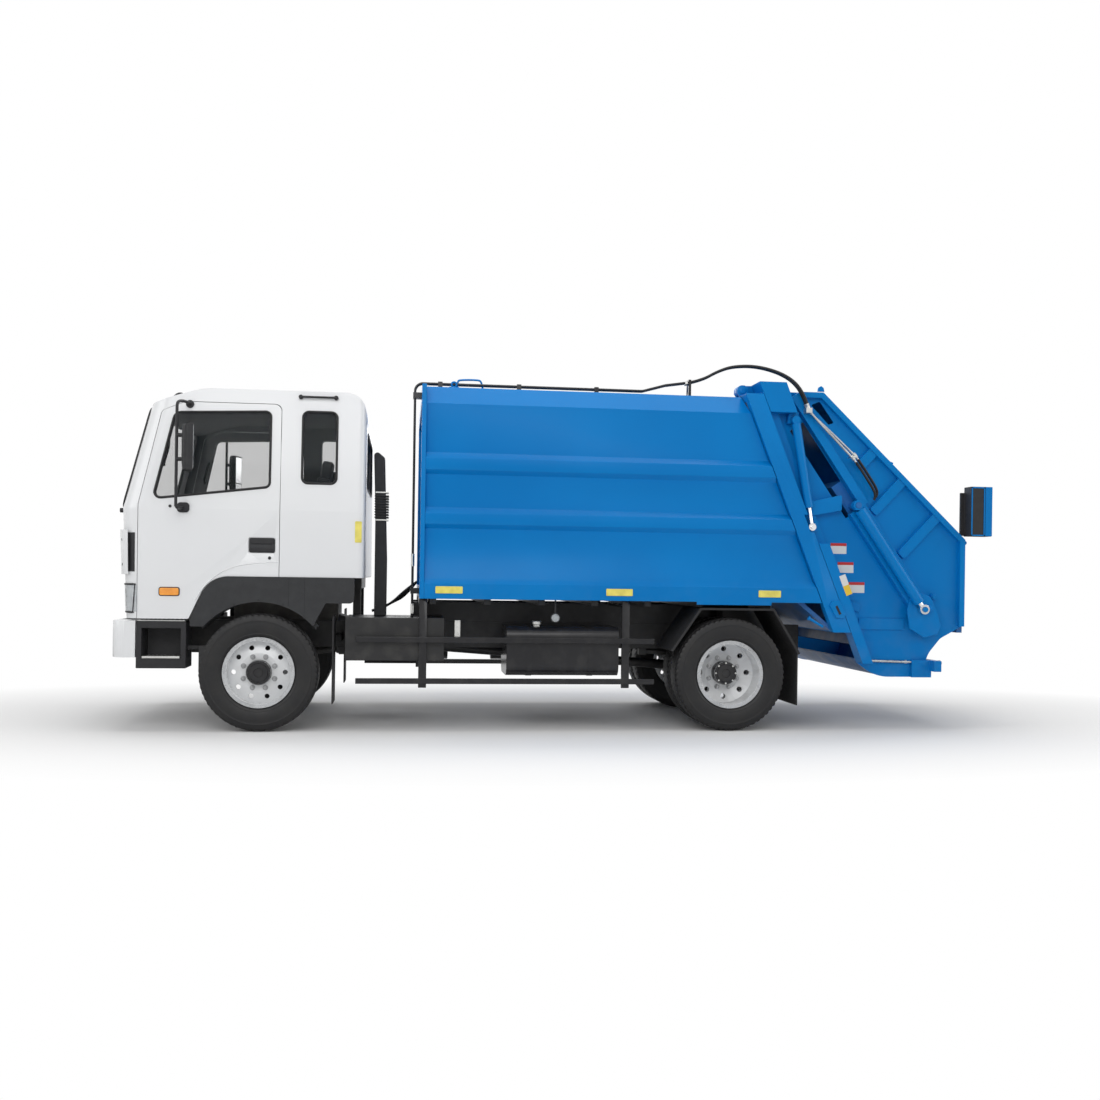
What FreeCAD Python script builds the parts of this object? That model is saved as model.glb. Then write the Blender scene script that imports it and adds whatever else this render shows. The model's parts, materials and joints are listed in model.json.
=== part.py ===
import FreeCAD, Part
import math
import os
from FreeCAD import Placement, Rotation, Vector

# A rear-loading garbage truck: two-axle chassis, tilting cab, compactor body and a tailgate
# with its packer. Millimetres, +X to the rear, +Y to the truck's right side, +Z up.
# The origin lies on the ground under the middle of the truck's length.

SIZES = {
    # Whole truck
    "front_overhang": 1262, "wheelbase": 4150, "rear_overhang": 2455,
    # Wheels
    "tyre_radius": 507, "tyre_width": 254, "rim_radius": 286, "rim_flange": 305,
    "rim_width": 190, "rim_wall": 14, "front_track": 2050, "dual_spacing": 305,
    "rear_outer_track": 2106, "bolt_circle": 285, "stud_radius": 11, "hub_radius": 105,
    "spindle_radius": 45, "running_gap": 0.05,
    # Chassis
    "rail_gap": 700, "rail_flange": 75, "rail_height": 240, "rail_wall": 8, "rail_top": 930,
    "rail_front": 1110, "rail_tail": 5040, "kingpin_track": 1800, "kingpin_radius": 22,
    "beam_depth": 90, "beam_width": 80, "housing_radius": 75, "bowl_radius": 210,
    "spring_width": 80, "spring_height": 60, "spring_length": 1300,
    # Under-body equipment
    "tank_start": 2130, "tank_length": 1004, "tank_height": 434, "tank_bottom": 486,
    "tank_depth": 560, "box_start": 724, "box_length": 859, "box_height": 376,
    "box_bottom": 612, "guard_top": 800, "guard_low": 440, "guard_end": 3452,
    # Cab
    "cab_nose": 1205, "cab_back": 880, "cab_half_width": 1150, "cab_sill": 964,
    "cab_belt": 1900, "cab_roof": 2940, "cab_wall": 60, "cab_rear_floor": 1330,
    "shield_lean": 256, "cab_tuck": 70, "tilt_x": 1140, "tilt_z": 680,
    "door_front": 1008, "door_rear": 160, "door_top": 2815, "door_gap": 5,
    "glass_thickness": 6, "arch_radius": 606,
    # Bumper and steps
    "bumper_top": 945, "bumper_height": 310, "bumper_side": 243, "bumper_wall": 30,
    "step_bottom": 542, "step_length": 410, "step_depth": 280,
    # Compactor body
    "body_front": 1400, "body_floor": 1159, "body_roof": 3025, "body_half_width": 1150,
    "body_wall": 40, "rib_out": 42, "chamfer_height": 160, "chamfer_depth": 110,
    "subframe_width": 80,
    # Tailgate
    "hinge_x": 4281, "hinge_z": 3095, "hinge_pin": 30, "seam_lean": 21.6, "seam_offset": 109,
    "seam_gap": 5, "gate_half_width": 1050, "gate_plate": 12, "gate_post": 100,
    "beam_out": 75, "gate_outer": 1195, "mouth_top": 1762, "mouth_x": 6401,
    "gate_top": 3085, "gate_top_end": 5011, "lip_z": 955, "trough_wall": 12,
    # Packer
    "eye_x": 5314, "eye_z": 2053, "packer_angle": 34.7, "packer_stroke": 840,
    "packer_length": 1144, "packer_bore": 50, "packer_rod": 25, "cylinder_y": 1178,
    "carriage_up": 250, "carriage_down": 650, "carriage_thick": 120, "blade_pin": 40,
    "blade_reach": 785, "blade_thick": 90, "blade_half_width": 1015,
    # Lift cylinders
    "lift_top_x": 4729, "lift_top_z": 2814, "lift_low_x": 4895, "lift_low_z": 1850,
    "lift_bore": 40, "lift_rod": 22, "lift_y": 1150,
    # Ejector
    "ejector_x": 1560, "ejector_thick": 60,
    # Pipes and hoses
    "pipe_y": 980, "pipe_step": 40, "pipe_radius": 11, "pipe_drop": 1300, "pipe_post": 3780,
    "hose_radius": 13,
}

doc = FreeCAD.newDocument("garbage_truck")
sheet = doc.addObject("Spreadsheet::Sheet", "Sizes")


class Size(float):
    """A length that remembers the sheet formula it comes from."""

    def __new__(cls, value, formula):
        item = float.__new__(cls, value)
        item.formula = formula
        return item

    def joined(self, value, sign, other, swap=False):
        left, right = (formula_of(other), self.formula) if swap else (self.formula, formula_of(other))
        return Size(value, f"({left} {sign} {right})")

    def __add__(self, other):
        return self.joined(float(self) + float(other), "+", other)

    def __radd__(self, other):
        return self.joined(float(other) + float(self), "+", other, True)

    def __sub__(self, other):
        return self.joined(float(self) - float(other), "-", other)

    def __rsub__(self, other):
        return self.joined(float(other) - float(self), "-", other, True)

    def __mul__(self, other):
        return self.joined(float(self) * float(other), "*", other)

    def __rmul__(self, other):
        return self.joined(float(other) * float(self), "*", other, True)

    def __truediv__(self, other):
        return self.joined(float(self) / float(other), "/", other)

    def __neg__(self):
        return Size(-float(self), f"(0 - {self.formula})")


def formula_of(value):
    if isinstance(value, Size):
        return value.formula
    return f"({float(value):.6f})"


class Sizes:
    """Every driving dimension by name, bound to its cell."""

    def __init__(self, table):
        for row, (alias, value) in enumerate(table.items(), start=1):
            sheet.set(f"A{row}", alias)
            sheet.set(f"B{row}", str(value))
            sheet.setAlias(f"B{row}", alias)
            setattr(self, alias, Size(value, f"Sizes.{alias}"))


s = Sizes(SIZES)
doc.recompute()
nodes = {}


# Places along the truck, counted from the front axle

axle_front = s.front_overhang - (s.front_overhang + s.wheelbase + s.rear_overhang) / 2
axle_rear = axle_front + s.wheelbase
axle_z = s.tyre_radius


def station(distance):
    """X of a place that lies this far behind the front axle."""
    return axle_front + distance


def seam_x(z):
    """X of the tailgate's front plane at height z."""
    lean = math.radians(s.seam_lean)
    foot_x = station(s.hinge_x) + s.seam_offset * math.cos(lean)
    foot_z = s.hinge_z + s.seam_offset * math.sin(lean)
    return foot_x + (foot_z - z) * math.tan(lean)


# Drawing helpers

def bind(item, name, value):
    """Set a property, and tie it to the sheet where the value comes from there."""
    if isinstance(value, Size):
        item.setExpression(name, value.formula)
    elif "." not in name:
        setattr(item, name, float(value))


def place(item, x, y, z, rotation=None):
    item.Placement = Placement(Vector(float(x), float(y), float(z)), rotation or Rotation())
    for name, value in (("x", x), ("y", y), ("z", z)):
        bind(item, f"Placement.Base.{name}", value)


def box(name, low, high):
    """A block between two corners."""
    item = doc.addObject("Part::Box", name)
    for prop, a, b in zip(("Length", "Width", "Height"), low, high):
        bind(item, prop, b - a)
    place(item, *low)
    return item


AXIS_TURN = {
    "x": Rotation(Vector(0, 1, 0), 90),
    "y": Rotation(Vector(1, 0, 0), -90),
    "z": Rotation(),
}


def rod(name, start, axis, radius, length):
    """A round bar from start along an axis."""
    item = doc.addObject("Part::Cylinder", name)
    bind(item, "Radius", radius)
    bind(item, "Height", length)
    place(item, *start, AXIS_TURN[axis])
    return item


def bar(name, start, end, radius, inner=0):
    """A round bar or tube between two points."""
    start, end = Vector(*map(float, start)), Vector(*map(float, end))
    reach = end - start
    solid = Part.makeCylinder(float(radius), reach.Length, start, reach)
    if inner:
        solid = solid.cut(Part.makeCylinder(float(inner), reach.Length + 2, start - reach.normalize(), reach))
    return shaped(name, solid)


def shaped(name, shape):
    item = doc.addObject("Part::Feature", name)
    item.Shape = shape
    return item


def outline(corners):
    """Closed outline as sketch curves: corners are (u, v) or (u, v, radius)."""
    count = len(corners)
    points = [Vector(float(c[0]), float(c[1]), 0) for c in corners]
    radii = [float(c[2]) if len(c) > 2 else 0.0 for c in corners]
    stops = []
    for index, (point, radius) in enumerate(zip(points, radii)):
        if not radius:
            stops.append((point, None, point))
            continue
        back = (points[index - 1] - point).normalize()
        ahead = (points[(index + 1) % count] - point).normalize()
        half = back.getAngle(ahead) / 2
        reach = radius / math.tan(half)
        middle = (back + ahead).normalize() * (radius / math.sin(half) - radius)
        stops.append((point + back * reach, point + middle, point + ahead * reach))
    curves = []
    for index, (first, middle, last) in enumerate(stops):
        if middle:
            curves.append(Part.Arc(first, middle, last))
        following = stops[(index + 1) % count][0]
        if (following - last).Length > 0.001:
            curves.append(Part.LineSegment(last, following))
    return curves


PLANE_SIGN = {"XY": 1, "YZ": 1, "XZ": -1}


def sketch_on(body, plane, offset, curves, name):
    """A sketch with these curves, on its body's own plane moved along its normal."""
    sketch = body.newObject("Sketcher::SketchObject", name)
    origin_plane = next(f for f in body.Origin.OriginFeatures if f.Role == f"{plane}_Plane")
    sketch.AttachmentSupport = [(origin_plane, "")]
    sketch.MapMode = "FlatFace"
    sketch.AttachmentOffset = Placement(Vector(0, 0, float(offset)), Rotation())
    bind(sketch, "AttachmentOffset.Base.z", offset)
    sketch.addGeometry(curves, False)
    return sketch


def pad(name, plane, corners, low, high):
    """An outline drawn on a plane and padded from low to high along the plane's axis."""
    body = doc.addObject("PartDesign::Body", name)
    offset = low if PLANE_SIGN[plane] > 0 else -high
    sketch = sketch_on(body, plane, offset, outline(corners), f"{name}_sketch")
    feature = body.newObject("PartDesign::Pad", f"{name}_pad")
    feature.Profile = sketch
    bind(feature, "Length", high - low)
    return body


def turned(name, corners):
    """An outline of (radius, width) corners turned about the Y axis."""
    body = doc.addObject("PartDesign::Body", name)
    sketch = sketch_on(body, "XY", 0, outline(corners), f"{name}_sketch")
    feature = body.newObject("PartDesign::Revolution", f"{name}_turn")
    feature.Profile = sketch
    feature.ReferenceAxis = (sketch, ["V_Axis"])
    feature.Angle = 360
    return body


def fuse(name, *items):
    item = doc.addObject("Part::MultiFuse", name)
    item.Shapes = list(items)
    return item


def cut(name, base, *tools):
    item = doc.addObject("Part::Cut", name)
    item.Base = base
    item.Tool = tools[0] if len(tools) == 1 else fuse(f"{name}_tools", *tools)
    return item


def common(name, *items):
    item = doc.addObject("Part::MultiCommon", name)
    item.Shapes = list(items)
    return item


def mirrored(name, source):
    """The same piece on the truck's other side."""
    item = doc.addObject("Part::Mirroring", name)
    item.Source = source
    item.Base = Vector(0, 0, 0)
    item.Normal = Vector(0, 1, 0)
    return item


def group(name, *items):
    item = doc.addObject("Part::Compound", name)
    item.Links = list(items)
    return item


def node(label, *items):
    """Keep a finished piece under its file's name; several solids share one node."""
    item = items[0] if len(items) == 1 else group(f"{label}_group", *items)
    item.Label = label
    nodes[label] = item
    return item


def both_sides(label, *items):
    """A node whose solids stand on the left side and mirrored on the right."""
    mirror_images = [mirrored(f"{item.Name}_mirror", item) for item in items]
    return node(label, *items, *mirror_images)


# Wheels

def tyre(name):
    half = s.tyre_width / 2
    seat = s.rim_width / 2 - 0.3
    return turned(name, [
        (s.rim_radius, -seat), (s.rim_flange + 1, -seat), (s.rim_flange + 95, -half, 200),
        (s.tyre_radius - 8, -half + 20, 20), (s.tyre_radius, -half * 0.45, 300),
        (s.tyre_radius, half * 0.45, 300), (s.tyre_radius - 8, half - 20, 20),
        (s.rim_flange + 95, half, 200), (s.rim_flange + 1, seat), (s.rim_radius, seat)])


def rim_profile(disc_y, bore):
    """Barrel with two flanges and a disc whose hub face lies at disc_y."""
    half = s.rim_width / 2
    lip = half + 12
    inner = s.rim_radius - s.rim_wall
    thick = 12
    slope = 40 if disc_y > 0 else -40
    return [
        (s.rim_radius, -half), (s.rim_flange, -half), (s.rim_flange, -lip, 5), (inner, -lip),
        (inner, disc_y - slope - thick), (bore + 60, disc_y - thick, 20), (bore, disc_y - thick),
        (bore, disc_y), (bore + 60, disc_y, 20), (inner, disc_y - slope),
        (inner, lip), (s.rim_flange, lip, 5), (s.rim_flange, half), (s.rim_radius, half)]


def holes(name, count, circle_radius, hole_radius, low, length):
    """A ring of holes about the Y axis."""
    tools = []
    for number in range(count):
        angle = 2 * math.pi * number / count
        tools.append(Part.makeCylinder(float(hole_radius), float(length), Vector(
            float(circle_radius) * math.cos(angle), float(low), float(circle_radius) * math.sin(angle)),
            Vector(0, 1, 0)))
    return shaped(name, Part.makeCompound(tools))


def hub(name, y_in, y_out, bore_end):
    """Hub barrel with its bearing bore open towards the axle."""
    shell = rod(f"{name}_shell", (0, y_in, 0), "y", s.hub_radius, y_out - y_in)
    bore = rod(f"{name}_bore", (0, y_in - 1, 0), "y", s.spindle_radius + s.running_gap, bore_end - y_in + 1)
    return cut(name, shell, bore)


def wheel_at(item, x, y, side):
    """Put a wheel drawn for the right side in its place; side -1 turns it to the left."""
    turn = Rotation() if side > 0 else Rotation(Vector(0, 0, 1), 180)
    place(item, x, y, axle_z, turn)
    return item


front_y = s.front_track / 2
front_disc = 55
for word, side in (("left", -1), ("right", 1)):
    node(f"front_tyre_{word}", wheel_at(tyre(f"front_tyre_{word}"), axle_front, front_y * side, side))
    disc = turned(f"front_rim_{word}_turned", rim_profile(front_disc, s.hub_radius))
    slots = holes(f"front_rim_{word}_slots", 10, 218, 21, front_disc - 80, 120)
    wheel = cut(f"front_rim_{word}_disc", disc, slots)
    centre = hub(f"front_hub_{word}", -58, 105, 78)
    whole = fuse(f"front_rim_{word}", wheel, centre)
    node(f"front_rim_{word}", wheel_at(whole, axle_front, front_y * side, side))

dual_y = s.rear_outer_track / 2 - s.dual_spacing / 2
half_dual = s.dual_spacing / 2
for word, side in (("left", -1), ("right", 1)):
    outer_tyre = tyre(f"rear_outer_tyre_{word}")
    inner_tyre = tyre(f"rear_inner_tyre_{word}")
    wheel_at(outer_tyre, axle_rear, (dual_y + half_dual) * side, side)
    wheel_at(inner_tyre, axle_rear, (dual_y - half_dual) * side, side)
    node(f"rear_tyres_{word}", outer_tyre, inner_tyre)
    outer = turned(f"rear_outer_rim_{word}", rim_profile(-half_dual + 12, s.hub_radius))
    inner = turned(f"rear_inner_rim_{word}", rim_profile(half_dual, s.hub_radius))
    place(outer, 0, half_dual, 0)
    place(inner, 0, -half_dual, 0)
    slots = holes(f"rear_rim_{word}_slots", 8, 218, 24, -120, 240)
    discs = cut(f"rear_rims_{word}_discs", fuse(f"rear_rims_{word}_pair", outer, inner), slots)
    centre = hub(f"rear_hub_{word}", -140, 110, 90)
    whole = fuse(f"rear_rims_{word}", discs, centre)
    node(f"rear_rims_{word}", wheel_at(whole, axle_rear, dual_y * side, side))


# Steering knuckles and axles

kingpin_y = s.kingpin_track / 2
eye_height = 110
lug_height = 32
lug_gap = 0.5
for word, side in (("left", -1), ("right", 1)):
    pin_y = kingpin_y * side
    eye_top = axle_z + eye_height / 2 + lug_gap
    eye_low = axle_z - eye_height / 2 - lug_gap
    pin = rod(f"kingpin_{word}", (axle_front, pin_y, eye_low - lug_height), "z", s.kingpin_radius,
              eye_height + 2 * lug_gap + 2 * lug_height)
    top = rod(f"knuckle_top_{word}", (axle_front, pin_y, eye_top), "z", 48, lug_height)
    low = rod(f"knuckle_low_{word}", (axle_front, pin_y, eye_low - lug_height), "z", 48, lug_height)
    plate_in = pin_y + 48 * side
    plate_low, plate_high = sorted((plate_in - 30 * side, plate_in + 16 * side), key=float)
    back = box(f"knuckle_back_{word}", (axle_front - 48, plate_low, eye_low - lug_height),
               (axle_front + 48, plate_high, eye_top + lug_height))
    room = rod(f"knuckle_room_{word}", (axle_front, pin_y, eye_low), "z", 56, eye_height + 2 * lug_gap)
    fork = cut(f"knuckle_fork_{word}", fuse(f"knuckle_solid_{word}", top, low, back), room)
    spindle_end = front_y + 70
    length = spindle_end - kingpin_y - 60
    start = pin_y + 60 if side > 0 else -spindle_end
    spindle = rod(f"front_spindle_{word}", (axle_front, start, axle_z), "y", s.spindle_radius, length)
    arm = pad(f"steering_arm_{word}_pad", "XY", [
        (axle_front + 20, pin_y - 10 * side), (axle_front + 200, pin_y - 60 * side, 20),
        (axle_front + 230, pin_y - 30 * side, 20), (axle_front + 40, pin_y + 44 * side)],
        eye_low - lug_height, eye_low - lug_height + 24)
    node(f"knuckle_{word}", fuse(f"knuckle_{word}", fork, pin, spindle, arm))

beam_eye = {}
for word, side in (("left", -1), ("right", 1)):
    beam_eye[word] = rod(f"beam_eye_{word}", (axle_front, kingpin_y * side, axle_z - eye_height / 2), "z",
                         52, eye_height)
beam = box("beam_bar", (axle_front - s.beam_width / 2, -kingpin_y + 20, axle_z - s.beam_depth / 2),
           (axle_front + s.beam_width / 2, kingpin_y - 20, axle_z + s.beam_depth / 2))
beam_bores = [rod(f"beam_bore_{side}", (axle_front, kingpin_y * side, axle_z - eye_height), "z",
                  s.kingpin_radius + s.running_gap, 2 * eye_height) for side in (-1, 1)]
front_beam = cut("front_beam", fuse("front_beam_solid", beam, *beam_eye.values()), *beam_bores)

housing_end = dual_y - 150
housing = rod("axle_tube", (axle_rear, -housing_end, axle_z), "y", s.housing_radius, 2 * housing_end)
bowl = rod("axle_bowl", (axle_rear - 110, 0, axle_z), "x", s.bowl_radius, 260)
nose = rod("axle_nose", (axle_rear - 330, 0, axle_z), "x", 80, 230)
spindle_reach = dual_y + 85
rear_spindle = rod("rear_spindle", (axle_rear, -spindle_reach, axle_z), "y", s.spindle_radius,
                   2 * spindle_reach)
rear_housing = fuse("rear_housing", housing, bowl, nose, rear_spindle)


# Leaf springs

def leaf_spring(name, x, y, middle_z, eye_z):
    """A leaf pack that sags from its two eyes to the axle seat."""
    half = s.spring_length / 2
    thick = s.spring_height
    return pad(name, "XZ", [
        (x - half, eye_z - 22), (x, middle_z - thick / 2, 900), (x + half, eye_z - 22),
        (x + half, eye_z + 10, 8), (x, middle_z + thick / 2, 900), (x - half, eye_z + 10, 8)],
        y - s.spring_width / 2, y + s.spring_width / 2)


def spring_hangers(name, x, y):
    """Brackets that hold a spring's two eyes under the rail."""
    half = s.spring_length / 2
    return [box(f"{name}_hanger_{end}", (x + half * end - 35, y - s.spring_width / 2 - 4, rail_bottom - 60),
                (x + half * end + 35, y + s.spring_width / 2 + 4, rail_bottom - 0.3)) for end in (-1, 1)]


rail_outer = s.rail_gap / 2 + s.rail_flange
rail_bottom = s.rail_top - s.rail_height
spring_y = rail_outer - s.rail_flange / 2
front_seat = axle_z + s.beam_depth / 2
rear_seat = axle_z + s.housing_radius
springs = []
for side in (-1, 1):
    word = "left" if side < 0 else "right"
    front_leaf = leaf_spring(f"front_leaf_{word}", axle_front, spring_y * side, front_seat + 40,
                             rail_bottom - 24)
    front_pad = box(f"front_spring_seat_{word}", (axle_front - 60, spring_y * side - 45, front_seat + 0.3),
                    (axle_front + 60, spring_y * side + 45, front_seat + 30))
    rear_leaf = leaf_spring(f"rear_leaf_{word}", axle_rear, spring_y * side, rear_seat + 45,
                            rail_bottom - 24)
    rear_pad = box(f"rear_spring_seat_{word}", (axle_rear - 70, spring_y * side - 50, rear_seat + 0.3),
                   (axle_rear + 70, spring_y * side + 50, rear_seat + 30))
    springs.append(fuse(f"front_spring_{word}", front_leaf, front_pad,
                        *spring_hangers(f"front_{word}", axle_front, spring_y * side)))
    springs.append(fuse(f"rear_spring_{word}", rear_leaf, rear_pad,
                        *spring_hangers(f"rear_{word}", axle_rear, spring_y * side)))
node("leaf_springs", *springs)


# Chassis frame: two channel rails and cross members

def rail(name, side):
    outer_y = rail_outer * side
    inner_y = s.rail_gap / 2 * side
    low_y, high_y = sorted((outer_y, inner_y), key=float)
    solid = box(f"{name}_solid", (station(-s.rail_front), low_y, rail_bottom),
                (station(s.rail_tail), high_y, s.rail_top))
    web = s.rail_wall * side
    hollow_low, hollow_high = sorted((outer_y - web, inner_y - 1 * side), key=float)
    hollow = box(f"{name}_hollow", (station(-s.rail_front) - 1, hollow_low, rail_bottom + s.rail_wall),
                 (station(s.rail_tail) + 1, hollow_high, s.rail_top - s.rail_wall))
    return cut(name, solid, hollow)


cross_stations = (1250, 1900, 3100, 3700, 4550, 4970)
cross_bars = []
for number, place_x in enumerate(cross_stations, start=1):
    cross_bars.append(box(f"cross_member_{number}", (
        station(place_x), -rail_outer + s.rail_wall / 2, rail_bottom + 70),
        (station(place_x) + 60, rail_outer - s.rail_wall / 2, s.rail_top - 50)))
ladder = [rail("rail_left", -1), rail("rail_right", 1), *cross_bars]

engine_rear = 620
engine = box("engine", (station(-330), -310, 640), (station(engine_rear), 310, 1250))
gearbox = pad("gearbox", "XZ", [
    (station(engine_rear), 600), (station(engine_rear + 560), 610), (station(engine_rear + 560), 800),
    (station(engine_rear), 980)], -180, 180)
node("engine_block", fuse("engine_and_gearbox", engine, gearbox))
shaft_start = station(engine_rear + 560) + 0.3
shaft_end = axle_rear - 330.3
shaft_z = 700
shaft = bar("shaft_tube", (shaft_start + 12, 0, shaft_z), (shaft_end - 12, 0, axle_z), 45)
shaft_flange = rod("shaft_flange", (shaft_start, 0, shaft_z), "x", 70, 24)
axle_flange = rod("axle_flange", (shaft_end - 24, 0, axle_z), "x", 70, 24)
drive_shaft = fuse("drive_shaft", shaft, shaft_flange, axle_flange)
node("axles", front_beam, rear_housing, drive_shaft)


# Tank, boxes and side guards

side_face = s.body_half_width
tank = pad("tank_body", "YZ", [
    (-side_face + 25, s.tank_bottom, 90), (-side_face + 20 + s.tank_depth, s.tank_bottom, 90),
    (-side_face + 20 + s.tank_depth, s.tank_bottom + s.tank_height, 90),
    (-side_face + 25, s.tank_bottom + s.tank_height, 90)],
    station(s.tank_start), station(s.tank_start + s.tank_length))
tank_arm = []
for distance in (200, 760):
    tank_arm.append(box(f"tank_arm_{distance}", (
        station(s.tank_start + distance), -side_face + 10 + s.tank_depth, s.tank_bottom + 60),
        (station(s.tank_start + distance + 60), -rail_outer, s.rail_top - 20)))
tank_straps = []
for distance in (203, 753):
    tank_straps.append(pad(f"tank_strap_{distance}", "YZ", [
        (-side_face + 21, s.tank_bottom - 4, 94), (-side_face + 24 + s.tank_depth, s.tank_bottom - 4, 94),
        (-side_face + 24 + s.tank_depth, s.tank_bottom + s.tank_height + 4, 94),
        (-side_face + 21, s.tank_bottom + s.tank_height + 4, 94)],
        station(s.tank_start + distance - 25), station(s.tank_start + distance + 25)))
node("fuel_tank", fuse("fuel_tank_whole", tank, *tank_arm, *tank_straps))

battery = box("battery_box", (station(s.box_start), -side_face + 55, s.box_bottom),
              (station(s.box_start + s.box_length), -rail_outer, s.box_bottom + s.box_height))
muffler = rod("muffler", (station(s.box_start + 200), 820, 640), "x", 150, 760)
muffler_arm = box("muffler_arm", (station(s.box_start + 500), rail_outer, 640),
                  (station(s.box_start + 560), 820, 760))
air_tanks = []
for level in (600, 830):
    air_tanks.append(rod(f"air_tank_{level}", (station(s.tank_start), 760, level), "x", 105, 900))
air_arm = box("air_tank_arm", (station(s.tank_start + 400), rail_outer, 560),
              (station(s.tank_start + 460), 760, 870))
node("side_boxes", battery, fuse("muffler_whole", muffler, muffler_arm),
     fuse("air_tanks_whole", air_arm, *air_tanks))

guard_pieces = []
guard_y = -side_face - 10
for name, level, start in (("guard_upper", s.guard_top, 820), ("guard_lower", s.guard_low, 820)):
    guard_pieces.append(box(name, (station(start), guard_y, level - 24),
                            (station(s.guard_end), guard_y + 30, level + 24)))
for number, distance in enumerate((1360, 3160)):
    guard_pieces.append(box(f"guard_post_{number}", (station(distance), guard_y + 30, s.guard_low - 60),
                            (station(distance + 70), guard_y + 60, s.body_floor - 0.3)))
    guard_pieces.append(box(f"guard_arm_{number}", (station(distance), guard_y + 30, s.body_floor - 60),
                            (station(distance + 70), -rail_outer - 0.3, s.body_floor - 0.3)))
both_sides("side_guards", fuse("side_guard", *guard_pieces))


# Bumper and steps

bumper_front = station(-s.front_overhang)
bumper_low = s.bumper_top - s.bumper_height
bumper_back = station(-s.front_overhang) + s.bumper_side


def bumper_form(name, inset):
    profile = pad(f"{name}_profile", "XZ", [
        (bumper_front + inset, bumper_low - 1 + inset * 2, 20), (bumper_back + 400, bumper_low - 1 + inset * 2),
        (bumper_back + 400, s.bumper_top - inset), (bumper_front + inset, s.bumper_top - inset, 50 - inset)],
        -s.cab_half_width - 10, s.cab_half_width + 10)
    half = s.cab_half_width - inset
    plan = pad(f"{name}_plan", "XY", [
        (bumper_front + inset, 0, 3000), (bumper_front + 40 + inset, -half, 130 - inset),
        (bumper_back + (500 if inset else 0), -half), (bumper_back + (500 if inset else 0), half),
        (bumper_front + 40 + inset, half, 130 - inset)], bumper_low - 2, s.bumper_top + 2)
    return common(name, profile, plan)


bumper_middle = box("bumper_middle", (bumper_front + 60, -880, bumper_low - 50), (
    bumper_back + 50, 880, s.bumper_top + 50))
bumper_shell = cut("bumper_shell", bumper_form("bumper_outer", 0), bumper_form("bumper_inner", s.bumper_wall),
                   bumper_middle)
bumper_arms = [box(f"bumper_arm_{side}", (bumper_front + 25, side * 390 - 35, 720),
                   (station(-s.rail_front) - 0.3, side * 390 + 35, 880)) for side in (-1, 1)]
node("front_bumper", fuse("front_bumper_whole", bumper_shell, *bumper_arms))

step_front = bumper_back + 6
step_back = step_front + s.step_length
step_form = box("step_form", (step_front, -s.cab_half_width + 5, s.step_bottom),
                (step_back, -s.cab_half_width + 5 + s.step_depth, s.bumper_top - 2))
step_room = box("step_room", (step_front + 45, -s.cab_half_width - 1, s.step_bottom + 90),
                (step_back - 45, -s.cab_half_width + s.step_depth - 35, s.step_bottom + 340))
step_arm = box("step_arm", (step_front + 60, -s.cab_half_width + s.step_depth, 760),
               (step_front + 130, -rail_outer, 820))
both_sides("entry_steps", fuse("entry_step", cut("entry_step_box", step_form, step_room), step_arm))


# Cab: one hull at several depths gives walls, doors and glass the same curves

def cab_plan(inset, nose, half_width):
    half = half_width - inset
    front = station(-nose) + inset
    back = station(s.cab_back) - inset + 3
    corner = 190 - inset * 0.8
    return [(back, -half, 60), (back, half, 60), (front + 50, half, corner), (front, half * 0.45, 900),
            (front, -half * 0.45, 900), (front + 50, -half, corner)]


def cab_level(name, inset, nose, half_width, z):
    body = doc.addObject("PartDesign::Body", f"{name}_body")
    return sketch_on(body, "XY", z, outline(cab_plan(inset, nose, half_width)), name)


def cab_side(inset):
    """Side view: roof line, rear wall, raised floor and the arch over the front wheel."""
    back = station(s.cab_back) - inset
    roof = s.cab_roof - inset
    floor = s.cab_rear_floor + inset
    sill = s.cab_sill + inset
    return [
        (station(-1450), sill), (station(-1450), 2700 - inset), (station(-900), 2812 - inset, 200),
        (station(-500), roof, 700), (back, roof, 170 - inset), (back, floor, 10),
        (station(-420) - inset, floor, 250 + inset), (station(-585) - inset, sill, 20)]


def cab_hull(name, inset):
    low, high = 880, 3000
    lean = s.shield_lean / (s.cab_roof - s.cab_belt)
    tuck = s.cab_tuck / (s.cab_roof - s.cab_belt)
    rise = high - s.cab_belt
    levels = [
        cab_level(f"{name}_low", inset, s.cab_nose - 45, s.cab_half_width, low),
        cab_level(f"{name}_belt", inset, s.cab_nose, s.cab_half_width, s.cab_belt),
        cab_level(f"{name}_high", inset, s.cab_nose - lean * rise, s.cab_half_width - tuck * rise, high)]
    loft = doc.addObject("Part::Loft", f"{name}_loft")
    loft.Sections = levels
    loft.Solid = True
    loft.Ruled = True
    side = pad(f"{name}_side", "XZ", cab_side(inset), -s.cab_half_width - 50, s.cab_half_width + 50)
    return common(name, loft, side)


glass_inset = 16
hull_outer = cab_hull("hull_outer", 0)
hull_inner = cab_hull("hull_inner", s.cab_wall)
hull_glass = cab_hull("hull_glass", glass_inset)
hull_room = cab_hull("hull_room", glass_inset + s.glass_thickness)

cab_walls = cut("cab_walls", hull_outer, hull_inner)
glass_layer = cut("glass_layer", hull_glass, hull_room)


def door_outline(grow):
    """Door in side view; grow opens the hole around it."""
    rear = station(s.door_rear) + grow
    front = station(-s.door_front) - grow
    top = s.door_top + grow
    floor = s.cab_rear_floor - 2 * grow
    sill = s.cab_sill - 2 * grow
    return [
        (front, sill - 40), (front, 1935), (station(-835) - grow, 2735, 50), (station(-640), top, 120),
        (rear, top, 60), (rear, floor - 40), (station(-420) + grow, floor - 40, 250),
        (station(-585) + grow, sill - 40)]


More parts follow.
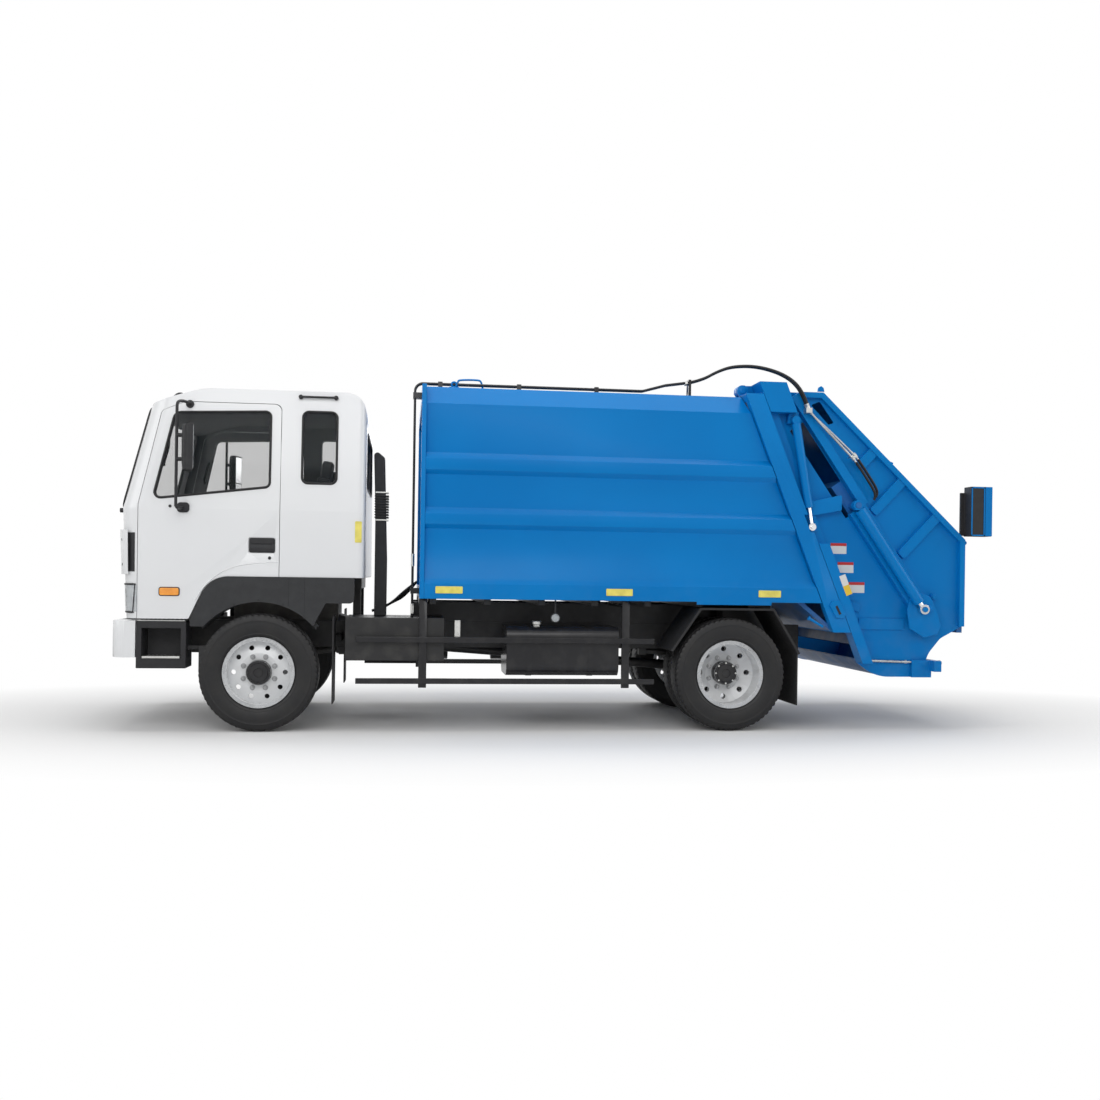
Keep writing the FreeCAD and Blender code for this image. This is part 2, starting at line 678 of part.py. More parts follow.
def window_outline(shrink):
    return [
        (station(-887) + shrink, 1987 + shrink, 45), (station(-722) + shrink, 2718 - shrink, 60),
        (station(68) - shrink, 2747 - shrink, 40), (station(68) - shrink, 2104 + shrink, 40)]


def quarter_outline(shrink):
    return [
        (station(348) + shrink, 2144 + shrink, 45), (station(348) + shrink, 2756 - shrink, 45),
        (station(630) - shrink, 2756 - shrink, 45), (station(630) - shrink, 2144 + shrink, 45)]


def shield_outline(shrink):
    return [
        (-1000 + shrink, 1925 + shrink, 90), (1000 - shrink, 1925 + shrink, 90),
        (930 - shrink, 2765 - shrink, 90), (-930 + shrink, 2765 - shrink, 90)]


def back_window_outline(shrink):
    return [(-620 + shrink, 2150 + shrink, 60), (620 - shrink, 2150 + shrink, 60),
            (620 - shrink, 2640 - shrink, 60), (-620 + shrink, 2640 - shrink, 60)]


side_out = s.cab_half_width + 60
wall_face = s.cab_half_width - s.cab_wall - 85
glass_gap = 0.3
shield_low, shield_high = station(-1500), station(-600)
rear_low, rear_high = station(s.cab_back) - 200, station(s.cab_back) + 100


def door_space(name, side, grow):
    """The space that a door fills: the wall's depth below the belt, more where the wall leans."""
    low, high = (-side_out, -wall_face) if side < 0 else (wall_face, side_out)
    whole = pad(f"{name}_whole", "XZ", door_outline(grow), low, high)
    face = s.cab_half_width - s.cab_wall - grow
    low, high = (-face, -wall_face + 1) if side < 0 else (wall_face - 1, face)
    ledge = box(f"{name}_ledge", (station(-1400), low, 800), (station(400), high, s.cab_belt - 2 * grow))
    return cut(name, whole, ledge)


door_holes = [door_space("door_hole_left", -1, s.door_gap), door_space("door_hole_right", 1, s.door_gap)]
quarter_hole = pad("quarter_hole", "XZ", quarter_outline(0), -side_out, side_out)
shield_hole = pad("shield_hole", "YZ", shield_outline(0), shield_low, shield_high)
back_hole = pad("back_hole", "YZ", back_window_outline(0), rear_low, rear_high)
pivot_x = station(-s.tilt_x)
tilt_arm = pad("tilt_arm", "XZ", [
    (pivot_x - 45, s.tilt_z - 45, 44), (pivot_x - 45, s.tilt_z + 45, 44), (pivot_x + 30, s.tilt_z + 45),
    (pivot_x + 300, s.cab_sill + 10), (pivot_x + 460, s.cab_sill + 10), (pivot_x + 60, s.tilt_z - 45)],
    -325, -275)
tilt_bore = rod("tilt_bore", (pivot_x, -400, s.tilt_z), "y", 22 + s.running_gap, 200)
tilt_arm_left = cut("tilt_arm_left", tilt_arm, tilt_bore)
pivot_lugs = [tilt_arm_left, mirrored("tilt_arm_right", tilt_arm_left)]
cab_cut = cut("cab_cut", cab_walls, *door_holes, quarter_hole, shield_hole, back_hole)
node("cab_shell", fuse("cab_whole", cab_cut, *pivot_lugs))

shield_tool = pad("shield_tool", "YZ", shield_outline(glass_gap), shield_low, shield_high)
back_tool = pad("back_tool", "YZ", back_window_outline(glass_gap), rear_low, rear_high)
quarter_tool = pad("quarter_tool", "XZ", quarter_outline(glass_gap), -side_out, side_out)
node("cab_glass", group("cab_panes", common("windscreen", glass_layer, shield_tool),
                        common("back_window", glass_layer, back_tool),
                        common("quarter_windows", glass_layer, quarter_tool)))

for word, low, high in (("left", -side_out, -wall_face), ("right", wall_face, side_out)):
    space = door_space(f"door_shape_{word}", -1 if word == "left" else 1, 0)
    leaf = common(f"door_leaf_{word}", cab_walls, space)
    hole = pad(f"door_window_{word}", "XZ", window_outline(0), low, high)
    face = s.cab_half_width - 12
    pocket_low, pocket_high = (-side_out, -face) if word == "left" else (face, side_out)
    pocket = pad(f"door_pocket_{word}", "XZ", [
        (station(-97), 1530, 20), (station(131), 1530, 20), (station(131), 1666, 20), (station(-97), 1666, 20)],
        pocket_low, pocket_high)
    node(f"door_{word}", cut(f"door_{word}_cut", leaf, hole, pocket))
    pane = pad(f"door_pane_{word}", "XZ", window_outline(glass_gap), low, high)
    node(f"door_glass_{word}", common(f"door_glass_{word}_pane", glass_layer, pane))


def mirror(word, side):
    """Mirror housing on a tube that runs from above the window down to the door."""
    y_out = (s.cab_half_width + 190) * side
    y_door = (s.cab_half_width + 15) * side
    high_z = 2760
    lean_in = s.cab_tuck * (high_z - s.cab_belt) / (s.cab_roof - s.cab_belt)
    top_y = (s.cab_half_width - lean_in + 3) * side
    x = station(-665)
    tube = bar(f"mirror_tube_{word}", (x, y_out, 1905), (x, y_out, high_z + 20), 14)
    high = bar(f"mirror_high_{word}", (x, y_out, high_z), (x + 40, top_y, high_z), 12)
    low = bar(f"mirror_low_{word}", (x, y_out, 1935), (x, y_door, 1900), 12)
    foot_low, foot_high = sorted((y_door - 14.7 * side, y_door + 8 * side), key=float)
    foot = box(f"mirror_foot_{word}", (x - 40, foot_low, 1860), (x + 40, foot_high, 1940))
    half = 95
    housing = pad(f"mirror_case_{word}", "XY", [
        (x - 30, y_out - half, 30), (x + 50, y_out - half + 20, 30), (x + 50, y_out + half - 20, 30),
        (x - 30, y_out + half, 30)], 2200, 2590)
    return fuse(f"mirror_{word}_whole", tube, high, low, foot, housing)


for word, side in (("left", -1), ("right", 1)):
    node(f"mirror_{word}", mirror(word, side))

flare_low = s.cab_half_width - 230


def arch_sheet(name, outer, inner, y_low, y_high):
    big = rod(f"{name}_big", (axle_front, y_low, axle_z), "y", outer, y_high - y_low)
    small = rod(f"{name}_small", (axle_front, y_low - 1, axle_z), "y", inner, y_high - y_low + 2)
    return cut(name, big, small)


flare_face = pad("flare_face", "XZ", [
    (station(-572), 900, 10), (station(-572), 968), (station(-412), 1329.7, 250), (station(800), 1329.7, 10),
    (station(800), 1108, 40), (station(560), 1108), (station(450), 900), (station(-460), 900)],
    -s.cab_half_width - 8, -s.cab_half_width + 55)
wheel_room = rod("wheel_room", (axle_front, -s.cab_half_width - 50, axle_z), "y", s.arch_radius, 800)
liner = common("liner", arch_sheet("liner_ring", s.arch_radius + 14, s.arch_radius, -s.cab_half_width + 40,
                                   -s.cab_half_width + 330),
               box("liner_limit", (station(-480), -s.cab_half_width, 880), (station(480), -500, 1300)))
both_sides("fender_flares", fuse("fender_flare", cut("flare_edge", flare_face, wheel_room), liner))

seat_base_z = s.cab_rear_floor + s.cab_wall
seats = []
for name, y in (("driver", -560), ("middle", 0), ("passenger", 560)):
    half = 250 if name != "middle" else 170
    cushion = box(f"seat_cushion_{name}", (station(-120), y - half, seat_base_z + 60),
                  (station(420), y + half, seat_base_z + 210))
    base = box(f"seat_base_{name}", (station(-60), y - half + 40, seat_base_z),
               (station(380), y + half - 40, seat_base_z + 60))
    backrest = pad(f"seat_back_{name}", "XZ", [
        (station(330), seat_base_z + 200), (station(460), seat_base_z + 200), (station(560), seat_base_z + 850, 40),
        (station(440), seat_base_z + 850, 40)], y - half, y + half)
    seats.append(fuse(f"seat_{name}", cushion, base, backrest))
node("seats", *seats)

dash = pad("dashboard_pad", "XZ", [
    (station(-1090), 1500), (station(-1090), 1880, 30), (station(-780), 1860, 60), (station(-740), 1560, 60)],
    -s.cab_half_width + 175, s.cab_half_width - 175)
dash_block = common("dashboard_whole", dash, hull_inner)
wheel_centre = Vector(float(station(-520)), -560, 1920)
wheel_axis = Vector(0.45, 0, 0.89).normalize()
ring = Part.makeTorus(225, 16, wheel_centre, wheel_axis)
column = Part.makeCylinder(28, 990, wheel_centre - wheel_axis * 990, wheel_axis)
spoke_parts = []
for angle in (0, 120, 240):
    arm_way = Rotation(wheel_axis, angle).multVec(Vector(0, 1, 0))
    spoke_parts.append(Part.makeCylinder(12, 215, wheel_centre - wheel_axis * 6, arm_way))
hub_cap = Part.makeCylinder(60, 30, wheel_centre - wheel_axis * 25, wheel_axis)
steering_wheel = shaped("steering_wheel", ring.fuse([column, hub_cap] + spoke_parts))
column_room = shaped("column_room", Part.makeCylinder(31, 990, wheel_centre - wheel_axis * 990, wheel_axis))
node("dashboard", cut("dashboard_cut", dash_block, column_room), steering_wheel)

lamp = common("headlamp_form", cut("headlamp_layer", cab_hull("hull_lamp", -6), hull_outer),
              box("headlamp_limit", (station(-1400), -s.cab_half_width - 60, 1021),
                  (station(-1010), -s.cab_half_width + 420, 1247)))
both_sides("headlamps", lamp)


# Cab support behind the cab, intake and front pipes

support_x = station(760)
support_legs = [box(f"support_leg_{side}", (support_x, side * 387 - 35, s.rail_top),
                    (support_x + 70, side * 387 + 35, s.cab_rear_floor - 60)) for side in (-1, 1)]
support_bar = box("support_bar", (support_x - 10, -520, s.cab_rear_floor - 100),
                  (support_x + 80, 520, s.cab_rear_floor - 0.3))
pivot_pins = []
for side in (-1, 1):
    pivot_pins.append(box(f"tilt_post_{side}", (pivot_x - 20, side * 387 - 36, s.tilt_z - 40),
                          (station(-s.rail_front) - 0.3, side * 387 + 36, s.tilt_z + 39)))
pivot_bar = rod("tilt_bar", (pivot_x, -390, s.tilt_z), "y", 22, 780)
node("chassis_frame", fuse("chassis_frame_whole", *ladder, support_bar, *support_legs),
     fuse("tilt_pivot", pivot_bar, *pivot_pins))

intake_x = station(s.cab_back) + 60
box_top = s.box_bottom + s.box_height + 0.3
intake = pad("intake_duct", "XZ", [
    (intake_x, 2504, 30), (intake_x + 100, 2420, 30), (intake_x + 130, 1500), (intake_x + 130, box_top),
    (intake_x + 20, box_top), (intake_x + 20, 1900)], -700, -560)
node("air_intake", intake)


# Compactor body

front_x = station(s.body_front)
slant_reach = 6000


def before_seam(name, item, gap):
    """Trim a body piece at the tailgate's seam."""
    tool = pad(f"{name}_seam", "XZ", [
        (seam_x(300) - gap, 300), (seam_x(3300) - gap, 3300), (seam_x(3300) + slant_reach, 3300),
        (seam_x(300) + slant_reach, 300)], -1400, 1400)
    return cut(name, item, tool)


def side_section():
    """Side wall seen from the rear: chamfered shoulder, three pressed ribs and the sill."""
    face = -s.body_half_width
    out = face - s.rib_out
    roof = s.body_roof
    corners = [(face + s.body_wall, s.body_floor), (out, s.body_floor), (out, 1291), (face, 1359)]
    for top, low in ((1957, 1772), (2436, 2245)):
        corners += [(face, low), (out, low + 40), (out, top - 50), (face, top)]
    corners += [
        (face, roof - s.chamfer_height), (face + s.chamfer_depth, roof),
        (face + s.chamfer_depth, roof - 35), (face + s.body_wall, roof - s.chamfer_height - 15)]
    return corners


wall_end = seam_x(s.body_floor) + 200
side_pad = pad("body_side_pad", "YZ", side_section(), front_x, wall_end)
side_wall = before_seam("body_side_wall", side_pad, 175)
arch_plate = box("arch_plate", (station(3825), -s.body_half_width - s.rib_out, s.body_floor - 26),
                 (station(4516), -s.body_half_width - s.rib_out + 12, s.body_floor + 20))
both_sides("body_sides", fuse("body_side", side_wall, arch_plate))

roof_half = s.body_half_width - s.chamfer_depth
roof_pad = box("roof_pad", (front_x, -roof_half + 0.3, s.body_roof - 35), (station(4230), roof_half - 0.3, s.body_roof))
node("body_roof", roof_pad)
floor_end_z = 905
floor_end = seam_x(floor_end_z + 45) - 145.3
floor_pad = pad("floor_pad", "XZ", [
    (front_x, s.body_floor), (station(4780), s.body_floor), (floor_end, floor_end_z),
    (floor_end, floor_end_z + 45), (station(4790), s.body_floor + 45), (front_x, s.body_floor + 45)],
    -s.body_half_width + s.body_wall + 0.3, s.body_half_width - s.body_wall - 0.3)
node("body_floor", floor_pad)
inner_half = s.body_half_width - s.body_wall - 0.3
front_wall = box("front_wall_plate", (front_x, -inner_half, s.body_floor + 45.3),
                 (front_x + 40, inner_half, s.body_roof - s.chamfer_height - 20))
posts = box("front_post", (front_x - 40, -s.body_half_width - s.rib_out, s.body_floor),
            (front_x - 0.3, -s.body_half_width + 80, s.body_roof))
cross_high = box("front_cross_high", (front_x - 40, -s.body_half_width + 80, s.body_roof - 120),
                 (front_x - 0.3, s.body_half_width - 80, s.body_roof))
cross_low = box("front_cross_low", (front_x - 40, -s.body_half_width + 80, s.body_floor),
                (front_x - 0.3, s.body_half_width - 80, s.body_floor + 100))
node("body_front", front_wall, fuse("body_front_frame", posts, mirrored("front_post_mirror", posts),
                                    cross_high, cross_low))

sub_beams = []
for side in (-1, 1):
    low_y = side * (rail_outer - s.subframe_width / 2) - s.subframe_width / 2
    sub_beams.append(box(f"sub_beam_{side}", (station(1300), low_y, s.rail_top + 0.3),
                         (station(4760), low_y + s.subframe_width, s.body_floor - 45)))
for number in range(7):
    x = station(1450 + number * 480)
    sub_beams.append(box(f"sub_cross_{number}", (x, -1080, s.body_floor - 50), (x + 60, 1080, s.body_floor - 0.3)))
node("body_subframe", fuse("body_subframe_whole", *sub_beams))

column_depth = 170
column_low = 895
column_high = s.body_roof + 15


def seam_strip(name, z_low, z_high, front, back, y_low, y_high):
    """A post that leans with the seam, between two distances from it."""
    return pad(name, "XZ", [
        (seam_x(z_low) + front, z_low), (seam_x(z_high) + front, z_high),
        (seam_x(z_high) + back, z_high), (seam_x(z_low) + back, z_low)], y_low, y_high)


column = seam_strip("portal_column", column_low, column_high, -column_depth, -s.seam_gap,
                    -s.gate_outer, -s.body_half_width + s.body_wall + 0)
portal_top = seam_strip("portal_top", column_high - 70, column_high, -column_depth, -s.seam_gap,
                        -s.gate_outer, s.gate_outer)
portal_sill = seam_strip("portal_sill", column_low, 1000, -column_depth + 25, -s.seam_gap,
                         -s.gate_outer, s.gate_outer)
hinge_lugs = []
lug_places = (870, 960)
for y in lug_places:
    ear = pad(f"hinge_lug_{y}", "XZ", [
        (station(s.hinge_x) - 24, column_high - 3), (station(s.hinge_x) - 50, s.hinge_z - 20),
        (station(s.hinge_x) - 50, s.hinge_z + 50, 45),
        (station(s.hinge_x) + 50, s.hinge_z + 50, 45), (station(s.hinge_x) + 60, column_high - 3)],
        -y - 20, -y)
    hinge_lugs.append(ear)
hinge_rod = rod("hinge_rod", (station(s.hinge_x), -990, s.hinge_z), "y", s.hinge_pin, 150)
lift_lug_outer = s.lift_y + 60
lift_lug = pad("lift_lug", "XZ", [
    (seam_x(s.lift_low_z + 70) - 60, s.lift_low_z + 70), (station(s.lift_low_x) + 20, s.lift_low_z + 45, 30),
    (station(s.lift_low_x) + 40, s.lift_low_z - 45, 30), (seam_x(s.lift_low_z - 90) - 60, s.lift_low_z - 90)],
    -s.lift_y + 22.3, -s.lift_y + 42)
lift_notch = seam_strip("lift_notch", s.lift_low_z - 50, s.lift_low_z + 110, -40, 10,
                        -s.gate_outer - 5, -s.lift_y + 22)
portal_left = [cut("portal_column_cut", column, lift_notch), *hinge_lugs, hinge_rod, lift_lug]
portal_right = [mirrored(f"{item.Name}_right", item) for item in portal_left]
node("rear_portal", fuse("rear_portal_whole", *portal_left, *portal_right, portal_top, portal_sill))


# Rear mudguards: a bent band on arms, the cover plate over it and the flap

band_y = -side_face - 20
arch_band = pad("arch_band", "XZ", [
    (station(3600), 720), (station(3865), 1105, 20), (station(4551), 1105, 20), (station(4800), 700),
    (station(4780), 690), (station(4540), 1085, 20), (station(3877), 1085, 20), (station(3620), 710)],
    band_y, band_y + 640)
arch_arm = box("arch_arm", (station(4180), band_y + 600, 1000), (station(4240), -rail_outer, 1095))
flap = box("rear_flap", (station(4768), band_y + 10, 230), (station(4780), band_y + 640, 712))
front_flap = box("front_flap_sheet", (station(618), -side_face + 20, 237), (station(630), -side_face + 330, 1000))
front_flap_arm = box("front_flap_arm", (station(618), -side_face + 320, 760), (station(680), -rail_outer, 820))
both_sides("mudguards", fuse("rear_mudguard", arch_band, arch_arm, flap),
           fuse("front_flap", front_flap, front_flap_arm))


# Tailgate

def along(distance, offset):
    """A point of the packer's track: down the track, and square to it towards the rear."""
    lean = math.radians(s.packer_angle)
    x = station(s.eye_x) + distance * math.sin(lean) + offset * math.cos(lean)
    z = s.eye_z - distance * math.cos(lean) + offset * math.sin(lean)
    return x, z


def track_strip(name, start, end, low, high, y_low, y_high):
    return pad(name, "XZ", [along(start, low), along(end, low), along(end, high), along(start, high)],
               y_low, y_high)


gate_foot = 613


def trough_line(depth):
    """Hopper floor in side view, from under the lip to the seam; depth moves it inwards."""
    return [
        (station(6190) - depth * 0.4, 840 + depth, 120), (station(6075) - depth, 700 + depth * 0.6, 220),
        (station(6000) - depth * 0.8, 482 + depth, 120), (station(5560), 482 + depth, 400)]


mouth_x = station(s.mouth_x)
plate_in = -s.gate_half_width + s.gate_plate
plate = pad("gate_plate", "XZ", [
    (seam_x(gate_foot), gate_foot), (seam_x(s.gate_top), s.gate_top), (station(s.gate_top_end), s.gate_top),
    (mouth_x, s.mouth_top), (mouth_x, s.lip_z), *trough_line(0)], -s.gate_half_width, plate_in)
slot = track_strip("gate_slot", -s.packer_stroke - 60, 60, -110, 42, -s.gate_half_width - 1, plate_in + 1)
window = pad("gate_window", "XZ", [
    (station(4908), 2974, 12), (station(4992), 3008, 12), (station(5131), 2816, 12), (station(5078), 2799, 12)],
    -s.gate_half_width - 1, plate_in + 1)
plate_cut = cut("gate_plate_cut", plate, slot, window)
slant_length = math.hypot(mouth_x - station(s.gate_top_end), s.gate_top - s.mouth_top)
slant_x = (mouth_x - station(s.gate_top_end)) / slant_length
slant_z = (s.mouth_top - s.gate_top) / slant_length


def slant_point(distance, inward):
    """A point of the side plate: down its slanted edge from the top, and square to it inwards."""
    x = station(s.gate_top_end) + slant_x * distance + slant_z * inward
    z = s.gate_top + slant_z * distance - slant_x * inward
    return x, z


gate_ribs = []
for distance, reach in ((720, 230), (1107, 447), (1576, 545)):
    gate_ribs.append(pad(f"gate_rib_{distance}", "XZ", [
        slant_point(distance - 45, 10), slant_point(distance + 45, 10), (*slant_point(distance + 45, reach), 20),
        (*slant_point(distance - 45, reach), 20)], -s.gate_half_width - 40, -s.gate_half_width))
flange = pad("gate_flange", "XZ", [
    (station(s.gate_top_end) - 190, s.gate_top), (station(s.gate_top_end), s.gate_top), (mouth_x, s.mouth_top),
    (mouth_x, s.lip_z), (mouth_x - 50, s.lip_z), (mouth_x - 50, s.mouth_top - 22),
    (station(s.gate_top_end) - 20, s.gate_top - 50), (station(s.gate_top_end) - 190, s.gate_top - 50)],
    -s.gate_half_width - 50, -s.gate_half_width)
both_sides("gate_sides", fuse("gate_side", plate_cut, flange, *gate_ribs))

recess = seam_strip("gate_post", gate_foot, s.gate_top, 0, s.gate_post, -s.gate_half_width - 50,
                    -s.gate_half_width - 0.3)
post_low = seam_strip("gate_post_low", gate_foot, 1700, 0, s.gate_post, -s.gate_outer, -s.gate_half_width - 0.3)
post_top = s.hinge_z + 55
post_high = seam_strip("gate_post_high", s.lift_top_z + 66, post_top, 0, 250, -s.gate_outer,
                       -s.gate_half_width - 0.3)
hinge_arm = pad("hinge_arm", "XZ", [
    (station(s.hinge_x) - 50, s.hinge_z - 50, 48), (station(s.hinge_x) - 50, s.hinge_z + 50, 48),
    (seam_x(s.hinge_z + 25) + 80, post_top), (seam_x(s.hinge_z - 50) + 60, s.hinge_z - 50)], -938, -892)
hinge_bore = rod("hinge_bore", (station(s.hinge_x), -1000, s.hinge_z), "y", s.hinge_pin + s.running_gap, 200)
hinge_arm_cut = cut("hinge_arm_cut", hinge_arm, hinge_bore)
lift_ear = pad("lift_ear", "XZ", [
    (station(s.lift_top_x) - 60, s.lift_top_z - 20), (station(s.lift_top_x) - 45, s.lift_top_z + 80),
    (station(s.lift_top_x) + 45, s.lift_top_z + 80), (station(s.lift_top_x) + 35, s.lift_top_z - 35, 25)],
    -s.lift_y + 40, -s.gate_half_width - 0.3)
lift_ear_pin = rod("lift_ear_pin", (station(s.lift_top_x), -s.lift_y - 28, s.lift_top_z), "y", 18, 75)
gate_cross = seam_strip("gate_cross", s.gate_top - 105, s.gate_top, 0, 120, plate_in + 0.3, -plate_in - 0.3)
hinge_foot = seam_strip("hinge_foot", s.gate_top - 85, post_top, 0, 120, -s.gate_half_width - 20, -880)
hinge_foot_cut = cut("hinge_foot_cut", hinge_foot, box("hinge_foot_room", (
    station(4000), plate_in - 13, s.gate_top - 185), (station(5000), plate_in + 0.3, s.gate_top)))
brace = pad("gate_brace", "XZ", [
    (station(4905), 2085), (station(5190), 2150, 12), (station(5190), 2010, 12), (station(4905), 1955)],
    -s.gate_half_width - 70, -s.gate_half_width - 0.3)
posts_left = [recess, post_low, post_high, hinge_arm_cut, lift_ear, lift_ear_pin, hinge_foot_cut, brace]
posts_right = [mirrored(f"{item.Name}_right", item) for item in posts_left]
node("gate_posts", fuse("gate_posts_whole", *posts_left, *posts_right, gate_cross))

beam_top = track_strip("guide_beam_high", -1150, 40, 45, 125, -s.gate_half_width - s.beam_out,
                       -s.gate_half_width - 0.3)
beam_low = track_strip("guide_beam_low", 40, 1240, -80, 95, -s.gate_half_width - s.beam_out,
                       -s.gate_half_width - 0.3)
pin_x, pin_z = along(s.packer_length, 0)
rod_pin = rod("rod_pin", (pin_x, -s.cylinder_y - 45, pin_z), "y", 24, s.cylinder_y + 45 - s.gate_half_width - 30)
both_sides("guide_beams", fuse("guide_beam", beam_top, beam_low, rod_pin))

cover = pad("cover_pad", "XZ", [
    (seam_x(s.gate_top) + 130, s.gate_top), (station(s.gate_top_end), s.gate_top), (mouth_x, s.mouth_top),
    (mouth_x - 20, s.mouth_top - 14), (station(s.gate_top_end) - 4, s.gate_top - 14),
    (seam_x(s.gate_top) + 130, s.gate_top - 14)], plate_in + 0.3, -plate_in - 0.3)
node("gate_cover", cover)


trough = pad("trough", "XZ", [
    (seam_x(640) + 2, 640), *reversed(trough_line(2)), (mouth_x - 2, s.lip_z), (mouth_x - 2, s.lip_z + 14),
    *trough_line(2 + s.trough_wall), (seam_x(654) + 2, 654)], plate_in + 0.3, -plate_in - 0.3)
lip_bar = box("lip_bar", (mouth_x - 45, plate_in + 0.3, s.lip_z - 60), (mouth_x + 8, -plate_in - 0.3, s.lip_z + 15))
node("hopper", fuse("hopper_whole", trough, lip_bar))

rear_bar = box("rear_bar", (station(6070), -1190, 540), (station(6140), 1190, 640))
bar_legs = [box(f"bar_leg_{side}", (station(5900), side * 1070 - 19.7, 480), (station(6090), side * 1070 + 20, 640))
            for side in (-1, 1)]
node("gate_bar", fuse("gate_bar_whole", rear_bar, *bar_legs))

lamp_case = box("lamp_case", (mouth_x, -1195, 1793), (mouth_x + 204, -1060, 2251))
lamp_arm = box("lamp_arm", (mouth_x - 40, -1075, 1800), (mouth_x, -s.gate_half_width - 0.3, 2200))
both_sides("lamp_boxes", fuse("lamp_box", lamp_case, lamp_arm))


# Packer: a carriage on the guide beams, a swinging blade, and their cylinders

def track_point(distance, offset, y):
    x, z = along(distance, offset)
    return x, y, z


half_thick = s.carriage_thick / 2
carriage_half = -plate_in - 6
blade_x, blade_z = along(s.carriage_down, 0)
carriage_plate = track_strip("carriage_plate", -s.carriage_up, s.carriage_down - 125, -half_thick, half_thick,
                             -carriage_half, carriage_half)
trunnions = []
for side in (-1, 1):
    y_end = (s.cylinder_y + 40) * side
    trunnions.append(bar(f"trunnion_{side}", track_point(0, 0, (carriage_half - 10) * side),
                         track_point(0, 0, y_end), 28))
carriage_lugs = []
for y in (-980, -20, 940):
    carriage_lugs.append(track_strip(f"carriage_lug_{y}", s.carriage_down - 150, s.carriage_down + 40, -45, 45,
                                     y, y + 40))
blade_axle = rod("blade_axle", (blade_x, -980, blade_z), "y", s.blade_pin, 1960)
k_down, k_off = -180, 110
anchor_lugs = []
for y in (-600, 600):
    anchor_lugs.append(track_strip(f"anchor_lug_{y}", k_down - 35, k_down + 35, half_thick - 5, k_off + 35,
                                   y - 75, y - 55))
    anchor_lugs.append(bar(f"anchor_pin_{y}", track_point(k_down, k_off, y - 75),
                           track_point(k_down, k_off, y + 30), 20))
node("packer_carriage", fuse("packer_carriage_whole", carriage_plate, *trunnions, *carriage_lugs, blade_axle,
                             *anchor_lugs))

barrels = []
rods = []
for side in (-1, 1):
    y = s.cylinder_y * side
    tube = bar(f"packer_tube_{side}", track_point(45, 0, y), track_point(1065, 0, y), s.packer_bore,
               s.packer_rod + s.running_gap)
    eye = rod(f"packer_eye_{side}", (along(0, 0)[0], y - 35, along(0, 0)[1]), "y", 46, 70)
    hole = rod(f"packer_eye_hole_{side}", (along(0, 0)[0], y - 36, along(0, 0)[1]), "y", 28.05, 72)
    barrels.append(cut(f"packer_barrel_{side}", fuse(f"packer_barrel_solid_{side}", tube, eye), hole))
    stem = bar(f"packer_stem_{side}", track_point(120, 0, y), track_point(s.packer_length - 30, 0, y), s.packer_rod)
    rod_eye = rod(f"packer_rod_eye_{side}", (pin_x, y - 30, pin_z), "y", 45, 60)
    rod_hole = rod(f"packer_rod_hole_{side}", (pin_x, y - 31, pin_z), "y", 24.05, 62)
    rods.append(cut(f"packer_rod_{side}", fuse(f"packer_rod_solid_{side}", stem, rod_eye), rod_hole))
node("packer_barrels", *barrels)
node("packer_rods", *rods)

blade_tip_angle = math.radians(-105)


def swung(distance, offset):
    """A point of the blade: out from its hinge, and square to it towards the rear."""
    c, q = math.cos(blade_tip_angle), math.sin(blade_tip_angle)
    return blade_x + distance * c - offset * q, blade_z + distance * q + offset * c


blade_plate = pad("blade_plate", "XZ", [
    swung(30, -40), swung(s.blade_reach * 0.6, -30, ), swung(s.blade_reach, 10), swung(s.blade_reach, 60),
    swung(s.blade_reach * 0.55, 60), swung(30, 55)], -s.blade_half_width, s.blade_half_width)
blade_room = [box(f"blade_room_{y}", (blade_x - 110, y - 5, blade_z - 105), (blade_x + 110, y + 45, blade_z + 110))
              for y in (-980, -20, 940)]
blade_trim = [box(f"blade_trim_{side}", (blade_x - 110, 980 * side - 60, blade_z - 105),
                  (blade_x + 110, 980 * side + 60, blade_z + 110)) for side in (-1, 1)]
blade_tube = rod("blade_tube", (blade_x, -935, blade_z), "y", 75, 1870)
blade_bore = rod("blade_bore", (blade_x, -1100, blade_z), "y", s.blade_pin + s.running_gap, 2200)
lever_angle = math.radians(-17.8)
lever_x = blade_x + 230 * math.cos(lever_angle)
lever_z = blade_z + 230 * math.sin(lever_angle)
levers = []
for y in (-600, 600):
    levers.append(pad(f"blade_lever_{y}", "XZ", [
        (blade_x, blade_z + 60), (lever_x + 30, lever_z + 30, 28), (lever_x + 30, lever_z - 35, 28),
        (blade_x + 40, blade_z - 260)], y - 70, y - 50))
blade_solid = fuse("blade_solid", blade_plate, blade_tube, *levers)
node("packing_blade", cut("packing_blade_whole", blade_solid, *blade_room, *blade_trim, blade_bore))

blade_barrels = []
blade_rods = []
anchor_x, anchor_z = along(k_down, k_off)
span = math.hypot(lever_x - anchor_x, lever_z - anchor_z)
way_x = (lever_x - anchor_x) / span
way_z = (lever_z - anchor_z) / span


def between(distance, y):
    return anchor_x + way_x * distance, y, anchor_z + way_z * distance


